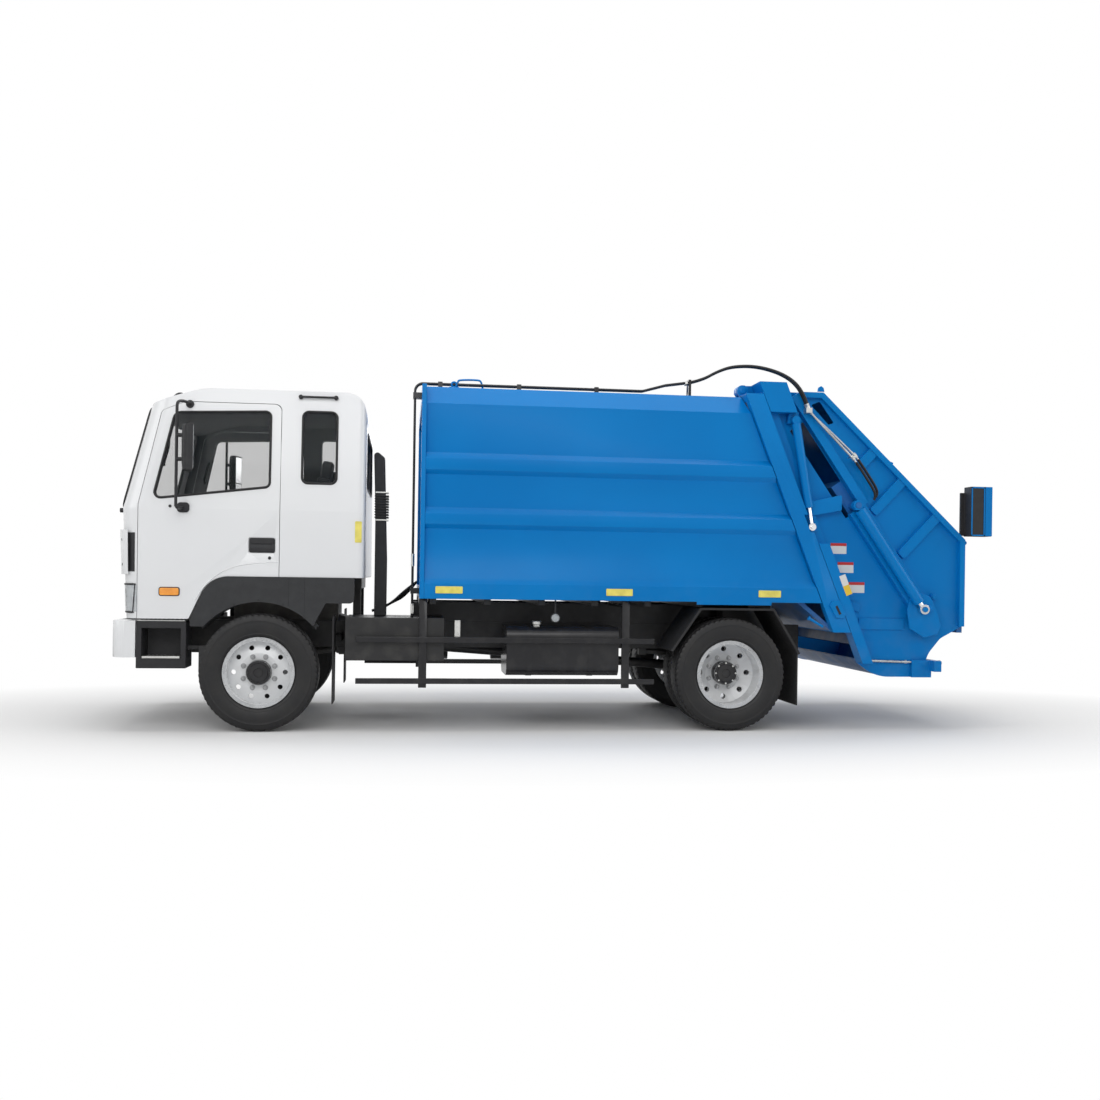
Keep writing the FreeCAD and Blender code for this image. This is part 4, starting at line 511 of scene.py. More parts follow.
def plate(bm, corners, low, high):
    """A flat outline of (x, z) corners with its thickness along Y."""
    face = bm.faces.new([bm.verts.new((x, low, z)) for x, z in corners])
    grown = bmesh.ops.extrude_face_region(bm, geom=[face])["geom"]
    verts = [item for item in grown if isinstance(item, bmesh.types.BMVert)]
    bmesh.ops.translate(bm, verts=verts, vec=(0, high - low, 0))
    return verts


def turned(bm, centre, profile, steps=72, axis="Y"):
    """A closed or open outline of (radius, along) points spun once about an axis."""
    centre = Vector(centre)
    way = {"X": Vector((1, 0, 0)), "Y": Vector((0, 1, 0)), "Z": Vector((0, 0, 1))}[axis]
    arm = Vector((0, 0, 1)) if axis != "Z" else Vector((1, 0, 0))
    verts = [bm.verts.new(centre + arm * radius + way * along) for radius, along in profile]
    edges = [bm.edges.new(pair) for pair in zip(verts, verts[1:])]
    return bmesh.ops.spin(bm, geom=verts + edges, cent=centre, axis=way, angle=math.tau, steps=steps,
                          use_merge=True)


def turned_piece(name, centre, profile, steps, axis, material, body, bevel=0.0, smooth=32):
    """One object made of a single turned outline."""
    bm = bmesh.new()
    turned(bm, centre, profile, steps, axis)
    return finished(name, bm, material, body, bevel, smooth)


def block_piece(name, material, body, bevel, *pairs):
    """One object made of boxes, each given by two opposite corners."""
    bm = bmesh.new()
    for low, high in pairs:
        block(bm, low, high)
    return finished(name, bm, material, body, bevel)


def along_curve(name, points, radius, kind="NURBS", closed=False, rings=8):
    """A mesh tube that follows a smooth curve through its control points."""
    data = bpy.data.curves.new(name, "CURVE")
    data.dimensions = "3D"
    data.bevel_depth = radius
    data.bevel_resolution = max(1, rings // 4)
    data.resolution_u = 10
    data.use_fill_caps = True
    spline = data.splines.new(kind)
    spline.points.add(len(points) - 1)
    for point, place in zip(spline.points, points):
        point.co = (*place, 1)
    spline.use_cyclic_u = closed
    if kind == "NURBS":
        spline.order_u = 3
        spline.use_endpoint_u = True
    holder = bpy.data.objects.new(name + "_curve", data)
    bpy.context.collection.objects.link(holder)
    graph = bpy.context.evaluated_depsgraph_get()
    mesh = bpy.data.meshes.new_from_object(holder.evaluated_get(graph))
    bpy.data.objects.remove(holder)
    return mesh


def tube(name, points, radius, material, body, kind="NURBS", closed=False, rings=12):
    """A painted tube; NURBS takes the points as a smooth route and POLY joins them up."""
    return new_piece(name, along_curve(name, points, radius, kind, closed, rings), material, body, 60)


def rounded(corners, steps=6):
    """Points of an outline whose (u, v, radius) corners are drawn as arcs."""
    points = []
    count = len(corners)
    for index, (u, v, radius) in enumerate(corners):
        here = Vector((u, v))
        back = (Vector(corners[index - 1][:2]) - here).normalized()
        ahead = (Vector(corners[(index + 1) % count][:2]) - here).normalized()
        half = back.angle(ahead) / 2
        reach = radius / math.tan(half)
        middle = here + (back + ahead).normalized() * (radius / math.sin(half))
        first = here + back * reach - middle
        sweep = first.angle_signed(here + ahead * reach - middle)
        for step in range(steps + 1):
            turn = Matrix.Rotation(-sweep * step / steps, 2)
            points.append(middle + turn @ first)
    return points


print("helpers ready")

# %% [markdown]
# The tyres get their real section: beads, a bulged wall with two moulded rings, shoulders and
# four grooves round the tread. After the spin every third step of the shoulder is pressed in,
# which leaves the square lugs that show at the edge of the tread.

# %% Tyres
LUGS = 60
wall = [
    (0.2862, 0.0935), (0.3055, 0.0945), (0.312, 0.103), (0.326, 0.113), (0.334, 0.1175), (0.338, 0.1165),
    (0.352, 0.1210), (0.375, 0.1250), (0.400, 0.1268), (0.425, 0.1262), (0.441, 0.1248), (0.4435, 0.1258),
    (0.449, 0.1252), (0.4515, 0.1228), (0.462, 0.1205), (0.478, 0.1165), (0.486, 0.1135), (0.4965, 0.1085),
    (0.5015, 0.0995), (0.5035, 0.0850), (0.5040, 0.0765), (0.4920, 0.0750), (0.4920, 0.0685),
    (0.5050, 0.0670), (0.5064, 0.0340), (0.4930, 0.0325), (0.4930, 0.0245), (0.5068, 0.0230), (0.5068, 0.0)]
section = wall + [(radius, -along) for radius, along in reversed(wall[:-1])]


def tyre_mesh(bm, centre):
    """A tyre with its lugs: of every three steps of the shoulder one is pressed in."""
    before = set(bm.verts)
    turned(bm, centre, section, steps=LUGS * 3)
    middle = Vector(centre)
    fresh = [vert for vert in bm.verts if vert not in before]
    for vert in fresh:
        arm = vert.co - middle
        radius = math.hypot(arm.x, arm.z)
        turn = math.atan2(arm.x, arm.z) / math.tau * LUGS * 3
        shift = 1 if arm.y > 0 else 0
        notch = (round(turn) + shift) % 3 == 0
        if notch and radius > 0.484 and abs(arm.y) > 0.0755:
            scale = (radius - 0.0085) / radius
            vert.co = middle + Vector((arm.x * scale, arm.y * 0.985, arm.z * scale))


for side, word in SIDES:
    bm = bmesh.new()
    tyre_mesh(bm, (AXLE_FRONT, side * FRONT_WHEEL_Y, AXLE_Z))
    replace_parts(finished(f"front_tyre_{word}_tread", bm, tyre_black, f"front_wheel_{word}", smooth=28),
                f"front_tyre_{word}")
    bm = bmesh.new()
    for offset in (-DUAL_SPACING / 2, DUAL_SPACING / 2):
        tyre_mesh(bm, (AXLE_REAR, side * REAR_WHEEL_Y + offset, AXLE_Z))
    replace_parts(finished(f"rear_tyres_{word}_tread", bm, tyre_black, f"rear_wheels_{word}", smooth=28),
                f"rear_tyres_{word}")
print("tyre section points", len(section))

# %% [markdown]
# On each wheel: a bright rolled edge, eight nuts on the 285 mm circle, the black hub cover
# and a ring of bolts round its middle.

# %% Nuts and hubs
NUT_CIRCLE = 0.1425
BOLT_CIRCLE = 0.092
HUB_RADIUS = 0.1085
RIM_RADIUS = 0.3062
RIM_REACH = 0.1075
FRONT_DISC = FRONT_WHEEL_Y + 0.055
FRONT_HUB_END = FRONT_WHEEL_Y + 0.105
REAR_DISC = REAR_WHEEL_Y + 0.012
REAR_HUB_END = REAR_WHEEL_Y + 0.110


def on_circle(x, radius, count, turn=0.0):
    """Places (x, z) evenly round a wheel's middle."""
    for number in range(count):
        angle = math.tau * (number + turn) / count
        yield x + radius * math.cos(angle), AXLE_Z + radius * math.sin(angle)


def wheel_trim(word, side, where, x, body, disc, hub_end):
    """disc is the disc's outer face and hub_end the hub's end, as distances from the middle."""
    bm = bmesh.new()
    for nut_x, nut_z in on_circle(x, NUT_CIRCLE, 8, 0.5):
        stud(bm, nut_x, nut_z, side, disc - 0.001, disc + 0.005, 0.023)
        stud(bm, nut_x, nut_z, side, disc, disc + 0.026, 0.0175, 0.0165, 6)
        stud(bm, nut_x, nut_z, side, disc, disc + 0.036, 0.0095)
    finished(f"{where}_nuts_{word}", bm, steel_nut, body, 0.001)
    hub = [(HUB_RADIUS, disc + 0.0008), (HUB_RADIUS, hub_end - 0.012), (0.103, hub_end + 0.003),
           (0.082, hub_end + 0.006), (0.078, hub_end + 0.014), (0.040, hub_end + 0.016),
           (0.036, hub_end + 0.009), (0.0, hub_end + 0.009)]
    hub = [(radius, side * along) for radius, along in hub]
    turned_piece(f"{where}_hub_{word}", (x, 0, AXLE_Z), hub, 48, "Y", gloss_black, body, smooth=30)
    bm = bmesh.new()
    for bolt_x, bolt_z in on_circle(x, BOLT_CIRCLE, 8):
        stud(bm, bolt_x, bolt_z, side, hub_end + 0.003, hub_end + 0.012, 0.0085, segments=6)
    finished(f"{where}_hub_bolts_{word}", bm, zinc if where == "rear" else chassis_paint, body)
    outer = FRONT_WHEEL_Y if where == "front" else REAR_WHEEL_Y + DUAL_SPACING / 2
    edge = [(0.2735, 0.0), (0.3045, 0.0003), (RIM_RADIUS, -0.0025), (RIM_RADIUS, -0.009), (0.3046, -0.010)]
    edge = [(radius, side * (outer + RIM_REACH + along)) for radius, along in edge]
    turned_piece(f"{where}_rim_edge_{word}", (x, 0, AXLE_Z), edge, 96, "Y", steel_pipe, body, smooth=40)


for side, word in SIDES:
    wheel_trim(word, side, "front", AXLE_FRONT, f"front_wheel_{word}", FRONT_DISC, FRONT_HUB_END)
    wheel_trim(word, side, "rear", AXLE_REAR, f"rear_wheels_{word}", REAR_DISC, REAR_HUB_END)
print("wheels trimmed")

# %% [markdown]
# Rubber seals run round every window. Their outlines are the window's own, and each point is
# dropped onto the cab's skin along the view of that window, so the seal follows the lean and
# the curve of the panel.

# %% Window seals
def surface_of(*names):
    """A tree to drop points on, from CAD nodes."""
    verts, faces = [], []
    for name in names:
        source = frame["nodes"][name]
        start = len(verts)
        verts += [source.matrix_world @ vert.co for vert in source.data.vertices]
        faces += [tuple(start + corner for corner in polygon.vertices) for polygon in source.data.polygons]
    return BVHTree.FromPolygons(verts, faces)


def dropped(tree, start, way, sink=0.0):
    """Where a ray from start meets the surface, sunk or raised along the ray."""
    hit = tree.ray_cast(Vector(start), Vector(way))[0]
    return None if hit is None else hit + Vector(way) * sink


def grown(corners, extra):
    """The same outline, its straight sides moved out by extra."""
    points = [Vector(corner[:2]) for corner in corners]
    count = len(points)
    area = sum(points[i - 1].cross(points[i]) for i in range(count))
    sign = 1 if area < 0 else -1
    result = []
    for index, (u, v, radius) in enumerate(corners):
        here = points[index]
        first = (here - points[index - 1]).normalized()
        second = (points[(index + 1) % count] - here).normalized()
        out_first = Vector((-first.y, first.x)) * sign
        out_second = Vector((-second.y, second.x)) * sign
        bisector = (out_first + out_second).normalized()
        moved = here + bisector * (extra / bisector.dot(out_first))
        result.append((moved.x, moved.y, radius + extra))
    return result


def seal(name, corners, tree, plane, side, body, radius=0.011, extra=0.005):
    """A rubber bead round a window; plane XZ is seen from the side and YZ from the front or back."""
    points = []
    for u, v in rounded(grown(corners, extra), 5):
        if plane == "XZ":
            hit = dropped(tree, (u, side * 1.6, v), (0, -side, 0))
        else:
            hit = dropped(tree, (side * 4.5, u, v), (-side, 0, 0))
        if hit is not None:
            points.append(hit)
    return tube(name, points, radius, seal_rubber, body, "POLY", True, 10)


door_window = [(station(-887), 1.987, 0.045), (station(-722), 2.718, 0.060), (station(68), 2.747, 0.040),
               (station(68), 2.104, 0.040)]
quarter_window = [(station(348), 2.144, 0.045), (station(348), 2.756, 0.045), (station(630), 2.756, 0.045),
                  (station(630), 2.144, 0.045)]
windscreen = [(-1.0, 1.925, 0.09), (1.0, 1.925, 0.09), (0.93, 2.765, 0.09), (-0.93, 2.765, 0.09)]
back_window = [(-0.62, 2.15, 0.06), (0.62, 2.15, 0.06), (0.62, 2.64, 0.06), (-0.62, 2.64, 0.06)]
cab_skin = surface_of("cab_shell")
for side, word in SIDES:
    door_skin = surface_of(f"door_{word}")
    seal(f"door_seal_{word}", door_window, door_skin, "XZ", side, f"door_{word}")
    seal(f"quarter_seal_{word}", quarter_window, cab_skin, "XZ", side, "cab")
seal("windscreen_seal", windscreen, cab_skin, "YZ", LEFT, "cab", 0.016, 0.010)
seal("back_window_seal", back_window, cab_skin, "YZ", RIGHT, "cab")
print("seals done")

# %% [markdown]
# The cab's trim. Points on the skin are found by dropping a ray on it, so lamps, beads and
# seals follow the lean and the corner curve. Corner pieces use rays that fan out from inside
# the corner, by angle from straight out (0) to straight ahead (90) and past it.

# %% Cab corner pieces
shell_and_doors = surface_of("cab_shell", "door_left", "door_right")
CORNER_X, CORNER_Y = station(-1015), CAB_SIDE - 0.19


def corner_point(side, degrees, z, proud=0.0):
    """The outermost skin at an angle round the corner and a height, moved out by proud."""
    angle = math.radians(degrees)
    way = Vector((-math.sin(angle), side * math.cos(angle), 0))
    hit = dropped(shell_and_doors, (CORNER_X, side * CORNER_Y, z), way)
    for _ in range(6):
        further = shell_and_doors.ray_cast(hit + way * 0.0005, way)[0]
        if further is None:
            break
        hit = further
    return hit + way * proud


def corner_sheet(name, side, angles, heights, proud, thick, material, body, across=14, up=8):
    """A curved sheet that follows the corner at a distance."""
    bm = bmesh.new()
    grid = bmesh.ops.create_grid(bm, x_segments=across, y_segments=up, size=0.5)["verts"]
    for vert in grid:
        degrees = angles[0] + (angles[1] - angles[0]) * (vert.co.x + 0.5)
        z = heights[0] + (heights[1] - heights[0]) * (vert.co.y + 0.5)
        vert.co = corner_point(side, degrees, z, proud)
    bmesh.ops.recalc_face_normals(bm, faces=bm.faces)
    bmesh.ops.solidify(bm, geom=bm.faces[:], thickness=thick)
    return finished(name, bm, material, body, 0.0015)


for side, word in SIDES:
    corner_sheet(f"corner_vane_{word}", side, (24, 74), (1.335, 1.715), 0.030, 0.006, white_paint, "cab")
    corner_sheet(f"vane_slot_{word}", side, (6, 60), (1.36, 1.69), 0.004, 0.003, dark_plastic, "cab")
    bm = bmesh.new()
    for z in (1.42, 1.63):
        bar(bm, corner_point(side, 48, z), corner_point(side, 48, z, 0.030), 0.012)
    finished(f"vane_feet_{word}", bm, dark_plastic, "cab")
    loop = [corner_point(side, degrees, 1.252, 0.003) for degrees in range(4, 140, 8)]
    loop += [corner_point(side, degrees, 1.016, 0.003) for degrees in range(138, 2, -8)]
    tube(f"headlamp_bezel_{word}", loop, 0.009, dark_plastic, "cab", "POLY", True, 8)
    bm = bmesh.new()
    for degrees, radius in ((38, 0.078), (78, 0.078), (116, 0.062)):
        disc = bmesh.ops.create_circle(bm, cap_ends=True, radius=radius, segments=24)["verts"]
        for vert in disc:
            across = math.degrees(vert.co.x / 0.21)
            vert.co = corner_point(side, degrees + across, 1.134 + vert.co.y, 0.0025)
    bmesh.ops.triangulate(bm, faces=bm.faces[:])
    bmesh.ops.subdivide_edges(bm, edges=bm.edges[:], cuts=2, use_grid_fill=True)
    finished(f"headlamp_cups_{word}", bm, chrome, "cab", smooth=60)
print("corner pieces done")

# %% [markdown]
# The inside of the cab is lined in dark cloth and plastic. A face belongs to the inside when a
# ray from it, straight out, meets another cab panel or a pane more than a hand away.

# %% Cab lining
room = surface_of("cab_shell", "door_left", "door_right", "cab_glass", "door_glass_left", "door_glass_right")
HAND = 0.10
for node in ("cab_shell", "door_left", "door_right"):
    mesh = dressed[node].data
    mesh.materials.append(headliner_cloth)
    lined = 0
    for polygon in mesh.polygons:
        hit = room.ray_cast(polygon.center + polygon.normal * 0.002, polygon.normal)
        if hit[0] is not None and hit[3] > HAND:
            polygon.material_index = 1
            lined += 1
    print(node, "lined faces", lined, "of", len(mesh.polygons))

# %% [markdown]
# Each door carries a handle pocket with two dark bars, a lock, an indicator lamp and the
# crease above the arch. Each side of the cab carries a reflector, a marker lamp and a short
# black rail at the roof, and the split lines and bolts of the flare.

# %% Door and roof trim
def outline_plate(bm, corners, side, low, high):
    """A rounded outline in side view between two distances from the middle."""
    return plate(bm, [tuple(point) for point in rounded(corners, 5)], *sorted((side * low, side * high)))


def field(bm, side, start, end, low, high, radius, near, far):
    """A rounded field in side view: distances, heights, corner radius, and its two faces."""
    corners = [(start, low), (end, low), (end, high), (start, high)]
    outline_plate(bm, [(station(s), z, radius) for s, z in corners], side, near, far)


def field_piece(name, side, body, material, bevel, *fields):
    """One object made of rounded fields."""
    bm = bmesh.new()
    for values in fields:
        field(bm, side, *values)
    return finished(name, bm, material, body, bevel)


for side, word in SIDES:
    body = f"door_{word}"
    door_skin = surface_of(body)
    field_piece(f"handle_pocket_{word}", side, body, trim_plastic, 0.0,
                (-92, 126, 1.535, 1.661, 0.018, 1.1385, 1.1405))
    field_piece(f"handle_bars_{word}", side, body, dark_plastic, 0.003,
                (-80, 114, 1.612, 1.650, 0.012, 1.1415, 1.1535),
                (-80, 114, 1.548, 1.574, 0.010, 1.1415, 1.1500))
    bm = bmesh.new()
    stud(bm, station(82), 1.491, side, 1.149, 1.1535, 0.014)
    stud(bm, station(82), 1.491, side, 1.153, 1.155, 0.008)
    finished(f"door_lock_{word}", bm, dark_plastic, body, 0.001)
    crease = [dropped(door_skin, (station(s), side * 1.6, z), (0, -side, 0)) for s, z in (
        (-535, 1.120), (-490, 1.205), (-420, 1.290), (-330, 1.362), (-230, 1.410), (-120, 1.437), (20, 1.452),
        (150, 1.458))]
    tube(f"door_crease_{word}", [point for point in crease if point], 0.006, white_paint, body)
    field_piece(f"indicator_base_{word}", side, body, dark_plastic, 0.001,
                (-832, -658, 1.156, 1.233, 0.020, 1.1490, 1.1535))
    field_piece(f"indicator_{word}", side, body, lens_amber, 0.004,
                (-824, -666, 1.163, 1.226, 0.016, 1.1530, 1.1640))
    field_piece(f"cab_reflector_{word}", side, "cab", reflector_yellow, 0.002,
                (800, 858, 1.636, 1.820, 0.008, 1.1485, 1.1545))
    top = dropped(shell_and_doors, (station(-715), side * 0.99, 3.4), (0, 0, -1))
    bm = bmesh.new()
    lean = Matrix.Translation(top + Vector((0, 0, 0.008))) @ Matrix.Rotation(math.radians(-16), 4, "Y")
    bmesh.ops.create_uvsphere(bm, u_segments=28, v_segments=16, radius=1,
                              matrix=lean @ Matrix.Diagonal((0.042, 0.030, 0.026, 1)))
    finished(f"marker_lamp_{word}", bm, dark_plastic, "cab")
    base = [(0.0, -0.012), (0.046, -0.012), (0.046, 0.006), (0.040, 0.010), (0.0, 0.010)]
    turned_piece(f"marker_base_{word}", top, base, 32, "Z", dark_plastic, "cab")
    ends = [dropped(shell_and_doors, (station(s), side * 1.6, 2.886), (0, -side, 0)) for s in (322, 622)]
    out = Vector((0, side * 0.030, 0))
    tube(f"roof_rail_{word}", [ends[0] + out, ends[1] + out], 0.010, dark_plastic, "cab", "POLY")
    bm = bmesh.new()
    for end in ends:
        bar(bm, end - out * 0.1, end + out * 1.1, 0.019)
    finished(f"roof_rail_feet_{word}", bm, dark_plastic, "cab", 0.005)
    block_piece(f"flare_splits_{word}", dark_plastic, "cab", 0.0008, *(
        ((station(distance - 2), side * 1.1565, low), (station(distance + 2), side * 1.1592, 1.318))
        for distance, low in ((245, 1.078), (380, 0.985))))
    bm = bmesh.new()
    for number in range(5):
        angle = math.radians(48.5 + number * 20.5)
        bolt_x, bolt_z = AXLE_FRONT - 0.585 * math.cos(angle), AXLE_Z + 0.625 * math.sin(angle)
        stud(bm, bolt_x, bolt_z, side, 1.157, 1.1625, 0.009)
    finished(f"flare_bolts_{word}", bm, dark_plastic, "cab", 0.001)
print("door and roof trim done")

# %% [markdown]
# The mirrors. The photo shows the near housing about 150 mm wide from the side, which is a deep
# rounded case turned a little so that its glass looks back past the body. The case
# starts as a block whose upright edges are rounded hard and whose front is crowned.

# %% Mirrors
MIRROR_X = station(-600)
MIRROR_Y = 1.340


def turned_about(side, degrees, place):
    """A place with its own axes, turned outwards about the upright."""
    return Matrix.Translation(place) @ Matrix.Rotation(math.radians(-side * degrees), 4, "Z")


for side, word in SIDES:
    body = f"door_{word}"
    place = Vector((MIRROR_X + 0.02, side * MIRROR_Y, 2.400))
    frame_of_mirror = turned_about(side, 13, place)
    bm = bmesh.new()
    bmesh.ops.create_cube(bm, size=1, matrix=Matrix.Diagonal((0.088, 0.186, 0.390, 1)))
    bmesh.ops.subdivide_edges(bm, edges=bm.edges[:], cuts=5, use_grid_fill=True)
    for vert in bm.verts:
        y, z = vert.co.y / 0.093, vert.co.z / 0.195
        if vert.co.x < 0:
            vert.co.x *= 1.0 - 0.34 * y * y - 0.18 * z ** 4
            vert.co.y *= 0.90
            vert.co.z *= 0.965
    bmesh.ops.transform(bm, matrix=frame_of_mirror, verts=bm.verts)
    case = finished(f"mirror_case_{word}", bm, dark_plastic, body, 0.014, 50, 4)
    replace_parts(case, f"mirror_{word}")
    bm = bmesh.new()
    for z, height in ((0.045, 0.270), (-0.140, 0.080)):
        bmesh.ops.create_cube(bm, size=1, matrix=frame_of_mirror @ Matrix.Translation((0.044, 0, z)) @
                              Matrix.Diagonal((0.004, 0.160, height, 1)))
    finished(f"mirror_glass_{word}", bm, chrome, body, 0.002)
    x, y = station(-665), side * MIRROR_Y
    top_y = dropped(surface_of(body), (x + 0.06, side * 1.6, 2.775), (0, -side, 0)).y
    tube(f"mirror_tube_{word}", [(x, y, 1.905), (x, y, 2.30), (x, y, 2.70), (x, y, 2.775),
                                 (x + 0.02, y - side * 0.08, 2.80), (x + 0.06, top_y + side * 0.06, 2.80),
                                 (x + 0.06, top_y - side * 0.004, 2.795)], 0.013, dark_plastic, body)
    tube(f"mirror_low_arm_{word}", [(x, y, 1.95), (x, y, 1.905), (x + 0.01, y - side * 0.06, 1.895),
                                    (x + 0.02, side * 1.165, 1.905)], 0.013, dark_plastic, body)
    bm = bmesh.new()
    for z in (2.30, 2.50):
        bar(bm, (x, y, z), (x + 0.09, y + side * 0.01, z), 0.017)
    field(bm, side, -690, -588, 1.866, 1.952, 0.030, 1.1485, 1.1640)
    stud(bm, station(-748), 1.918, side, 1.147, 1.156, 0.013)
    bar(bm, (x + 0.06, top_y - side * 0.006, 2.795), (x + 0.06, top_y + side * 0.014, 2.795), 0.034)
    finished(f"mirror_mounts_{word}", bm, dark_plastic, body, 0.004)
    grip = [(station(-830), side * 1.015, 2.275), (station(-838), side * 0.985, 2.30),
            (station(-815), side * 0.978, 2.38), (station(-796), side * 0.985, 2.46),
            (station(-792), side * 1.015, 2.485)]
    tube(f"pillar_grip_{word}", grip, 0.012, dark_plastic, body)
print("mirrors done")

# %% [markdown]
# The front, which the photo doesn't show, gets what such a cab needs: wipers parked on the
# windscreen, a grille of plain slats, a blank plate and fog lamps. The entry steps get bright
# treads and a rubber flap.

# %% Cab front
def front_line(z_of_y, values, proud=0.0):
    """Points across the cab's front, each at the height that its y asks for."""
    points = [dropped(shell_and_screen, (-6.0, y, z_of_y(y)), (1, 0, 0), -proud) for y in values]
    return [point for point in points if point]


shell_and_screen = surface_of("cab_shell", "cab_glass")
spread = [0.1 * number for number in range(-8, 9)]
for number in range(6):
    z = 1.335 + number * 0.062
    tube(f"grille_slat_{number}", front_line(lambda y: z, spread, 0.004), 0.013, dark_plastic, "cab", "POLY")
for number, start in enumerate((-0.93, -0.05)):
    reach = [start + 0.08 * step for step in range(10)]
    tube(f"wiper_blade_{number}", front_line(lambda y: 1.962 + (y - start) * 0.06, reach, 0.014), 0.007,
         seal_rubber, "cab", "POLY")
    tube(f"wiper_arm_{number}", front_line(lambda y: 1.885 + (y - start) * 0.19, reach[:6], 0.026), 0.008,
         dark_plastic, "cab", "POLY")
    pivot = dropped(shell_and_screen, (-6.0, start, 1.885), (1, 0, 0))
    bm = bmesh.new()
    bar(bm, pivot, pivot - Vector((0.034, 0, 0)), 0.020)
    finished(f"wiper_pivot_{number}", bm, dark_plastic, "cab", 0.003)
bumper_skin = surface_of("front_bumper")
hit = dropped(bumper_skin, (-6.0, 0.0, 0.79), (1, 0, 0))
block_piece("front_plate_blank", label_white, "chassis", 0.002,
            ((hit.x - 0.006, -0.26, 0.735), (hit.x + 0.012, 0.26, 0.845)))
FOG_LAMP = [(0.0, -0.004), (0.058, -0.004), (0.066, 0.002), (0.066, 0.014), (0.0, 0.014)]
FOG_RING = [(0.064, 0.014), (0.064, -0.006), (0.069, -0.010), (0.076, -0.006), (0.078, 0.014)]
for side, word in SIDES:
    place = dropped(bumper_skin, (-6.0, side * 0.78, 0.79), (1, 0, 0)) + Vector((-0.004, 0, 0))
    turned_piece(f"fog_lamp_{word}", place, FOG_LAMP, 40, "X", lens_white, "chassis")
    turned_piece(f"fog_ring_{word}", place, FOG_RING, 40, "X", dark_plastic, "chassis")
    bm = bmesh.new()
    block(bm, (station(-962), side * 0.925, 0.6325), (station(-654), side * 1.150, 0.6395))
    for number in range(9):
        stud(bm, station(-945 + number * 34), 0.640, side, 0.94, 1.142, 0.005)
    block(bm, (station(-962), side * 1.139, 0.628), (station(-654), side * 1.1505, 0.646))
    block(bm, (station(-1005), side * 0.90, 0.9432), (station(-612), side * 1.1405, 0.9492))
    for number in range(11):
        stud(bm, station(-985 + number * 36), 0.950, side, 0.915, 1.130, 0.0045)
    finished(f"step_treads_{word}", bm, zinc, "chassis", 0.0015)
    block_piece(f"step_flap_{word}", flap_rubber, "chassis", 0.006,
                ((station(-500), side * 1.135, 0.505), (station(-430), side * 1.05, 0.735)),
                ((station(-505), side * 1.09, 0.700), (station(-600), side * 1.06, 0.735)))
print("front done")

# %% [markdown]
# Inside, the seats are soft pieces. Each cushion starts as a block, is subdivided, crowned
# and pressed in along two seams. The frame of each seat stays hard.

# %% Seats
def cushion(name, centre, size, lean=0.0, crown=0.030):
    """A crowned cushion of its own, with two pressed seams across it."""
    bm = bmesh.new()
    bmesh.ops.create_cube(bm, size=2)
    bmesh.ops.subdivide_edges(bm, edges=bm.edges[:], cuts=15, use_grid_fill=True)
    half = Vector(size) / 2
    for vert in bm.verts:
        u, v, w = vert.co
        full = (1 - abs(u) ** 3) * (1 - abs(v) ** 3)
        seam = sum(math.exp(-((v - at) / 0.045) ** 2) for at in (-0.46, 0.46)) * 0.35 * (1 - abs(u) ** 6)
        swell = crown * (full - seam)
        vert.co = Vector((u * half.x, v * half.y, w * half.z + (swell if w > 0 else -swell * 0.15) * abs(w)))
        for axis, here, other in ((0, u, v), (1, v, u)):
            side_full = (1 - abs(other) ** 4) * (1 - abs(w) ** 4)
            vert.co[axis] += math.copysign(0.012 * side_full, here) * abs(here) ** 6
    for _ in range(2):
        bmesh.ops.smooth_vert(bm, verts=bm.verts, factor=0.5, use_axis_x=True, use_axis_y=True,
                              use_axis_z=True)
    bmesh.ops.transform(bm, matrix=Matrix.Translation(centre) @ Matrix.Rotation(lean, 4, "Y"), verts=bm.verts)
    return finished(name, bm, seat_fabric, "cab", smooth=70)


seat_names = (("driver", -0.56, 0.25), ("middle", 0.0, 0.17), ("passenger", 0.56, 0.25))
SEAT_Z = 1.390
BACK_LEAN = -math.radians(81)
for number, (name, y, half) in enumerate(seat_names):
    base = cushion(f"seat_cushion_{name}", (station(150), y, SEAT_Z + 0.135), (0.54, half * 2 - 0.01, 0.13))
    cushion(f"seat_back_{name}", (station(452), y, SEAT_Z + 0.525), (0.60, half * 2 - 0.01, 0.105), BACK_LEAN)
    bm = bmesh.new()
    block(bm, (station(-60), y - half + 0.04, SEAT_Z), (station(380), y + half - 0.04, SEAT_Z + 0.055))
    for post_y in (y - half + 0.05, y + half - 0.05):
        bar(bm, (station(400), post_y, SEAT_Z + 0.03), (station(500), post_y, SEAT_Z + 0.75), 0.012)
    finished(f"seat_frame_{name}", bm, dark_plastic, "cab", 0.004)
    if number == 0:
        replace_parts(base, "seats")
for name, y in (("driver", -0.56), ("passenger", 0.56)):
    cushion(f"headrest_{name}", (station(522), y, SEAT_Z + 0.905), (0.15, 0.27, 0.085), BACK_LEAN, 0.018)
    bm = bmesh.new()
    for shift in (-0.06, 0.06):
        bar(bm, (station(505), y + shift, SEAT_Z + 0.78), (station(518), y + shift, SEAT_Z + 0.88), 0.006)
    finished(f"headrest_posts_{name}", bm, zinc, "cab")
print("seats done")

# %% [markdown]
# Behind the cab: a bellows and two clamps on the intake duct, couplings on the front pipes,
# short hoses from the pipes down to the frame, and three lines across.

# %% Behind the cab
duct_low, duct_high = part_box("air_intake")


def around_duct(z, height, proud, depth):
    """A band round the duct, this proud of its walls and reaching this far forward of its back."""
    return ((duct_high[0] - depth, duct_low[1] - proud, z),
            (duct_high[0] + proud, duct_high[1] + proud, z + height))


